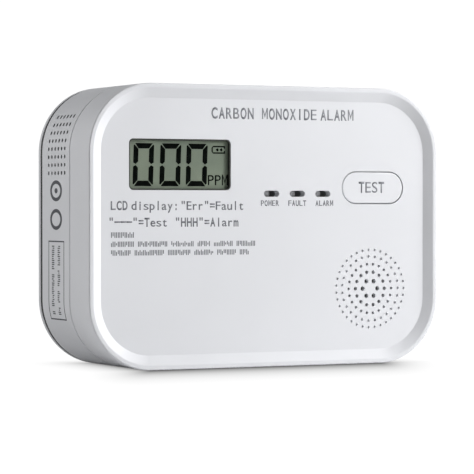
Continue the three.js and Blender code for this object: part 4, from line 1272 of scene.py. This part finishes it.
def shroud():
    """The dark frame round the three lamps."""
    low, high = box_mm("led_shroud")
    made = box("lamp_shroud", low.x, high.x, low.y, high.y, low.z, high.z)
    for lamp in LAMPS:
        cut(made, prism("cell", rounded(*lamp, *SHROUD_CELL, 6),
                        low.y - OVER, high.y + OVER))
    finish(made, SHROUD, "black_plastic", "led_shroud", bevel=0.1)


def lamp_piece(name):
    """A clear lamp with a small cup on a leg and a post inside it."""
    node = f"led_{name}"
    (x, z), (low, high) = centre(node), box_mm(node)
    tip, foot = low.y, high.y
    dome = [math.radians(a) for a in range(0, 91, 10)]
    profile = [(LAMP_R * math.sin(a), tip + LAMP_R * (1 - math.cos(a))) for a in dome]
    profile += [(LAMP_R, foot - LAMP_FLANGE), (LAMP_FLANGE_R, foot - LAMP_FLANGE),
                (LAMP_FLANGE_R, foot), (0, foot)]
    finish(turned(f"lamp_{name}", profile, (x, z)), LAMP_CLEAR, "epoxy", node)
    legs = [box("leg", x + left, x + right, tip + depth, foot - LEG_END, z - LEG_HALF, z + LEG_HALF)
            for left, right, depth in (POST_LEG, CUP_LEG)]
    cup = turned("cup", [(r, tip + depth) for r, depth in CUP], (x + CUP_X, z), sides=24)
    metal_parts = merged(f"lamp_{name}_frame", [add(cup, legs[1]), legs[0]])
    finish(metal_parts, STEEL, "steel")


# ---- horn

HORN_WALL, HORN_FRONT, HORN_HOLE_R = 1.0, 0.7, 1.7
HORN_LEDGE, HORN_LEDGE_WALL = 3.0, 2.5
HORN_EDGE = 0.2


def horn():
    """A round black sound box, closed in front but for a hole in its middle."""
    low, high = box_mm("horn_body")
    r = (high.x - low.x) / 2
    front, back = low.y, high.y
    ledge = front + HORN_LEDGE + 1
    inner = r - HORN_LEDGE_WALL
    profile = [(HORN_HOLE_R, front), (r - HORN_EDGE, front), (r, front + HORN_EDGE), (r, back),
               (r - HORN_WALL, back), (r - HORN_WALL, ledge), (inner, ledge),
               (inner, front + HORN_FRONT), (HORN_HOLE_R, front + HORN_FRONT),
               (HORN_HOLE_R, front)]
    body = turned("horn_box", profile, HORN, sides=64)
    finish(body, BLACK, "black_plastic", "horn_body")


# ---- cells, springs and screws

# a sleeve's ends: how far inside the cell's radius, and along from its foot or its shoulder
SLEEVE_FOOT = ((1.3, 0.35), (1.3, 0.1), (0.8, 0.02), (0.25, 0.25), (0, 0.8))
SLEEVE_SHOULDER = ((0, -0.8), (0.25, -0.25), (0.8, -0.02), (1.6, -0.05), (1.6, -0.35))
SHOULDER = 1.3
NUB_R, FOOT_R = 2.6, 3.2


def cell(name, direction):
    """A cell with a printed sleeve and steel ends, its button end along direction."""
    low, high = box_mm(name)
    at = (CELL_Y, centre(name)[1])
    end = high.x if direction > 0 else -low.x
    foot = end - (high.x - low.x)
    shoulder = end - SHOULDER
    r = CELL_R
    sleeve = [(r - inward, foot + along) for inward, along in SLEEVE_FOOT]
    sleeve += [(r - inward, shoulder + along) for inward, along in SLEEVE_SHOULDER]
    core = [(0, foot + 0.05), (FOOT_R, foot + 0.05), (FOOT_R + 0.4, foot + 0.25),
            (r - 1.4, foot + 0.25), (r - 1.7, shoulder - 0.3), (NUB_R + 0.5, shoulder - 0.25),
            (NUB_R, shoulder + 0.1), (NUB_R, end - 0.35), (NUB_R - 0.3, end - 0.02),
            (0, end - 0.02)]
    for part, profile, material, slot, nodes in (
            ("sleeve", sleeve + sleeve[:1], SLEEVES[direction], "cell", (name,)),
            ("ends", core, STEEL, "steel", ())):
        placed = [(radius, direction * x) for radius, x in profile]
        finish(turned(f"{name}_{part}", placed, at, True, 64), material, slot, *nodes)


SPRING_TURNS, SPRING_WIDE, SPRING_NARROW, SPRING_WIRE = 3.5, 4.4, 2.5, 0.3
SPRING_POINTS = 113


def spring(name, z):
    """A conical coil from a contact to the flat end of a cell."""
    low, high = box_mm(name)
    wide_x, narrow_x = high.x - SPRING_WIRE, low.x + SPRING_WIRE
    if low.x < 0:
        wide_x, narrow_x = narrow_x, wide_x
    points = []
    for k in range(SPRING_POINTS):
        t = k / (SPRING_POINTS - 1)
        a = 2 * math.pi * SPRING_TURNS * t
        r = SPRING_WIDE + (SPRING_NARROW - SPRING_WIDE) * t
        points.append((wide_x + (narrow_x - wide_x) * t,
                       CELL_Y + r * math.cos(a), z + r * math.sin(a)))
    finish(tube(f"{name}_coil", points, SPRING_WIRE), STEEL, "steel", name)


HEAD, HEAD_EDGE = 2.1, 0.9
THREAD_ROOT, THREAD_CREST, THREAD_PITCH = 1.05, 1.35, 0.9
CROSS_LONG, CROSS_NARROW = 1.5, 0.35


def case_screw(name):
    """A pan-head screw with a rounded head, a cross recess and threads."""
    low, high = box_mm(name)
    x, z = centre(name)
    r = (high.x - low.x) / 2
    seat = high.y - HEAD
    edge = seat + HEAD_EDGE
    profile = [(0, low.y), (0.35, low.y + 0.1)]
    y = low.y + 1.0
    while y < seat - 1.2:
        profile += [(THREAD_ROOT, y), (THREAD_CREST, y + 0.35), (THREAD_ROOT, y + 0.7)]
        y += THREAD_PITCH
    profile += [(1.2, seat - 0.4), (1.2, seat), (r, seat), (r, edge)]
    for degrees in (15, 30, 45, 60, 75):
        a = math.radians(degrees)
        profile.append((r * math.cos(a) ** 0.6, edge + (HEAD - HEAD_EDGE) * math.sin(a)))
    profile.append((0, high.y))
    body = turned(f"{name}_body", profile, (x, z), sides=40)
    bars = [box("recess", x - w, x + w, edge + 0.05, high.y + OVER, z - h, z + h)
            for w, h in ((CROSS_LONG, CROSS_NARROW), (CROSS_NARROW, CROSS_LONG))]
    cut(body, add(*bars))
    finish(body, STEEL, "steel", name, bevel=0.05)


# ---- parts kept from the frame

KEPT = {
    REFLECTOR: ("lcd_reflector",),
    RUBBER_AND_GROOVE_SHADE: ("zebra_strip_upper", "zebra_strip_lower"),
    BLACK: ("switch_body", "switch_plunger", "horn_cap", "gas_sensor_cap"),
    BRASS: ("piezo_disc",),
    CERAMIC: ("piezo_ceramic",),
    SENSOR_STEEL: ("gas_sensor",),
    BOARD: ("main_board",),
    CHIP: ("controller_chip",),
    CAN_SLEEVE: ("capacitor",),
    COPPER: ("boost_coil",),
    STEEL: (*(f"board_screw_{i}" for i in (1, 2, 3, 4)), "positive_contact",
            "negative_contact", "bridge_contact"),
    RED_WIRE: ("battery_wire_red", "horn_wire_red"),
    BLACK_WIRE: ("battery_wire_black", "horn_wire_black"),
}


def kept_parts():
    for material, names in KEPT.items():
        for name in names:
            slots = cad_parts[name].data.materials
            slots.clear()
            slots.append(material)


# ---- the script itself

camera()
studio()
floor()
front_cover()
rear_housing()
mounting_plate()
plate_groove_shade()
battery_door()
battery_pad()
test_button()
vent_shade_liners()
face_print()
side_print()
display()
shroud()
for lamp_name in LAMP_NAMES:
    lamp_piece(lamp_name)
horn()
cell("battery_1", -1)
cell("battery_2", 1)
for spring_name, cell_z in zip(("spring_lower", "spring_upper"), CELLS_Z):
    spring(spring_name, cell_z)
for number in (1, 2, 3, 4):
    case_screw(f"case_screw_{number}")
kept_parts()
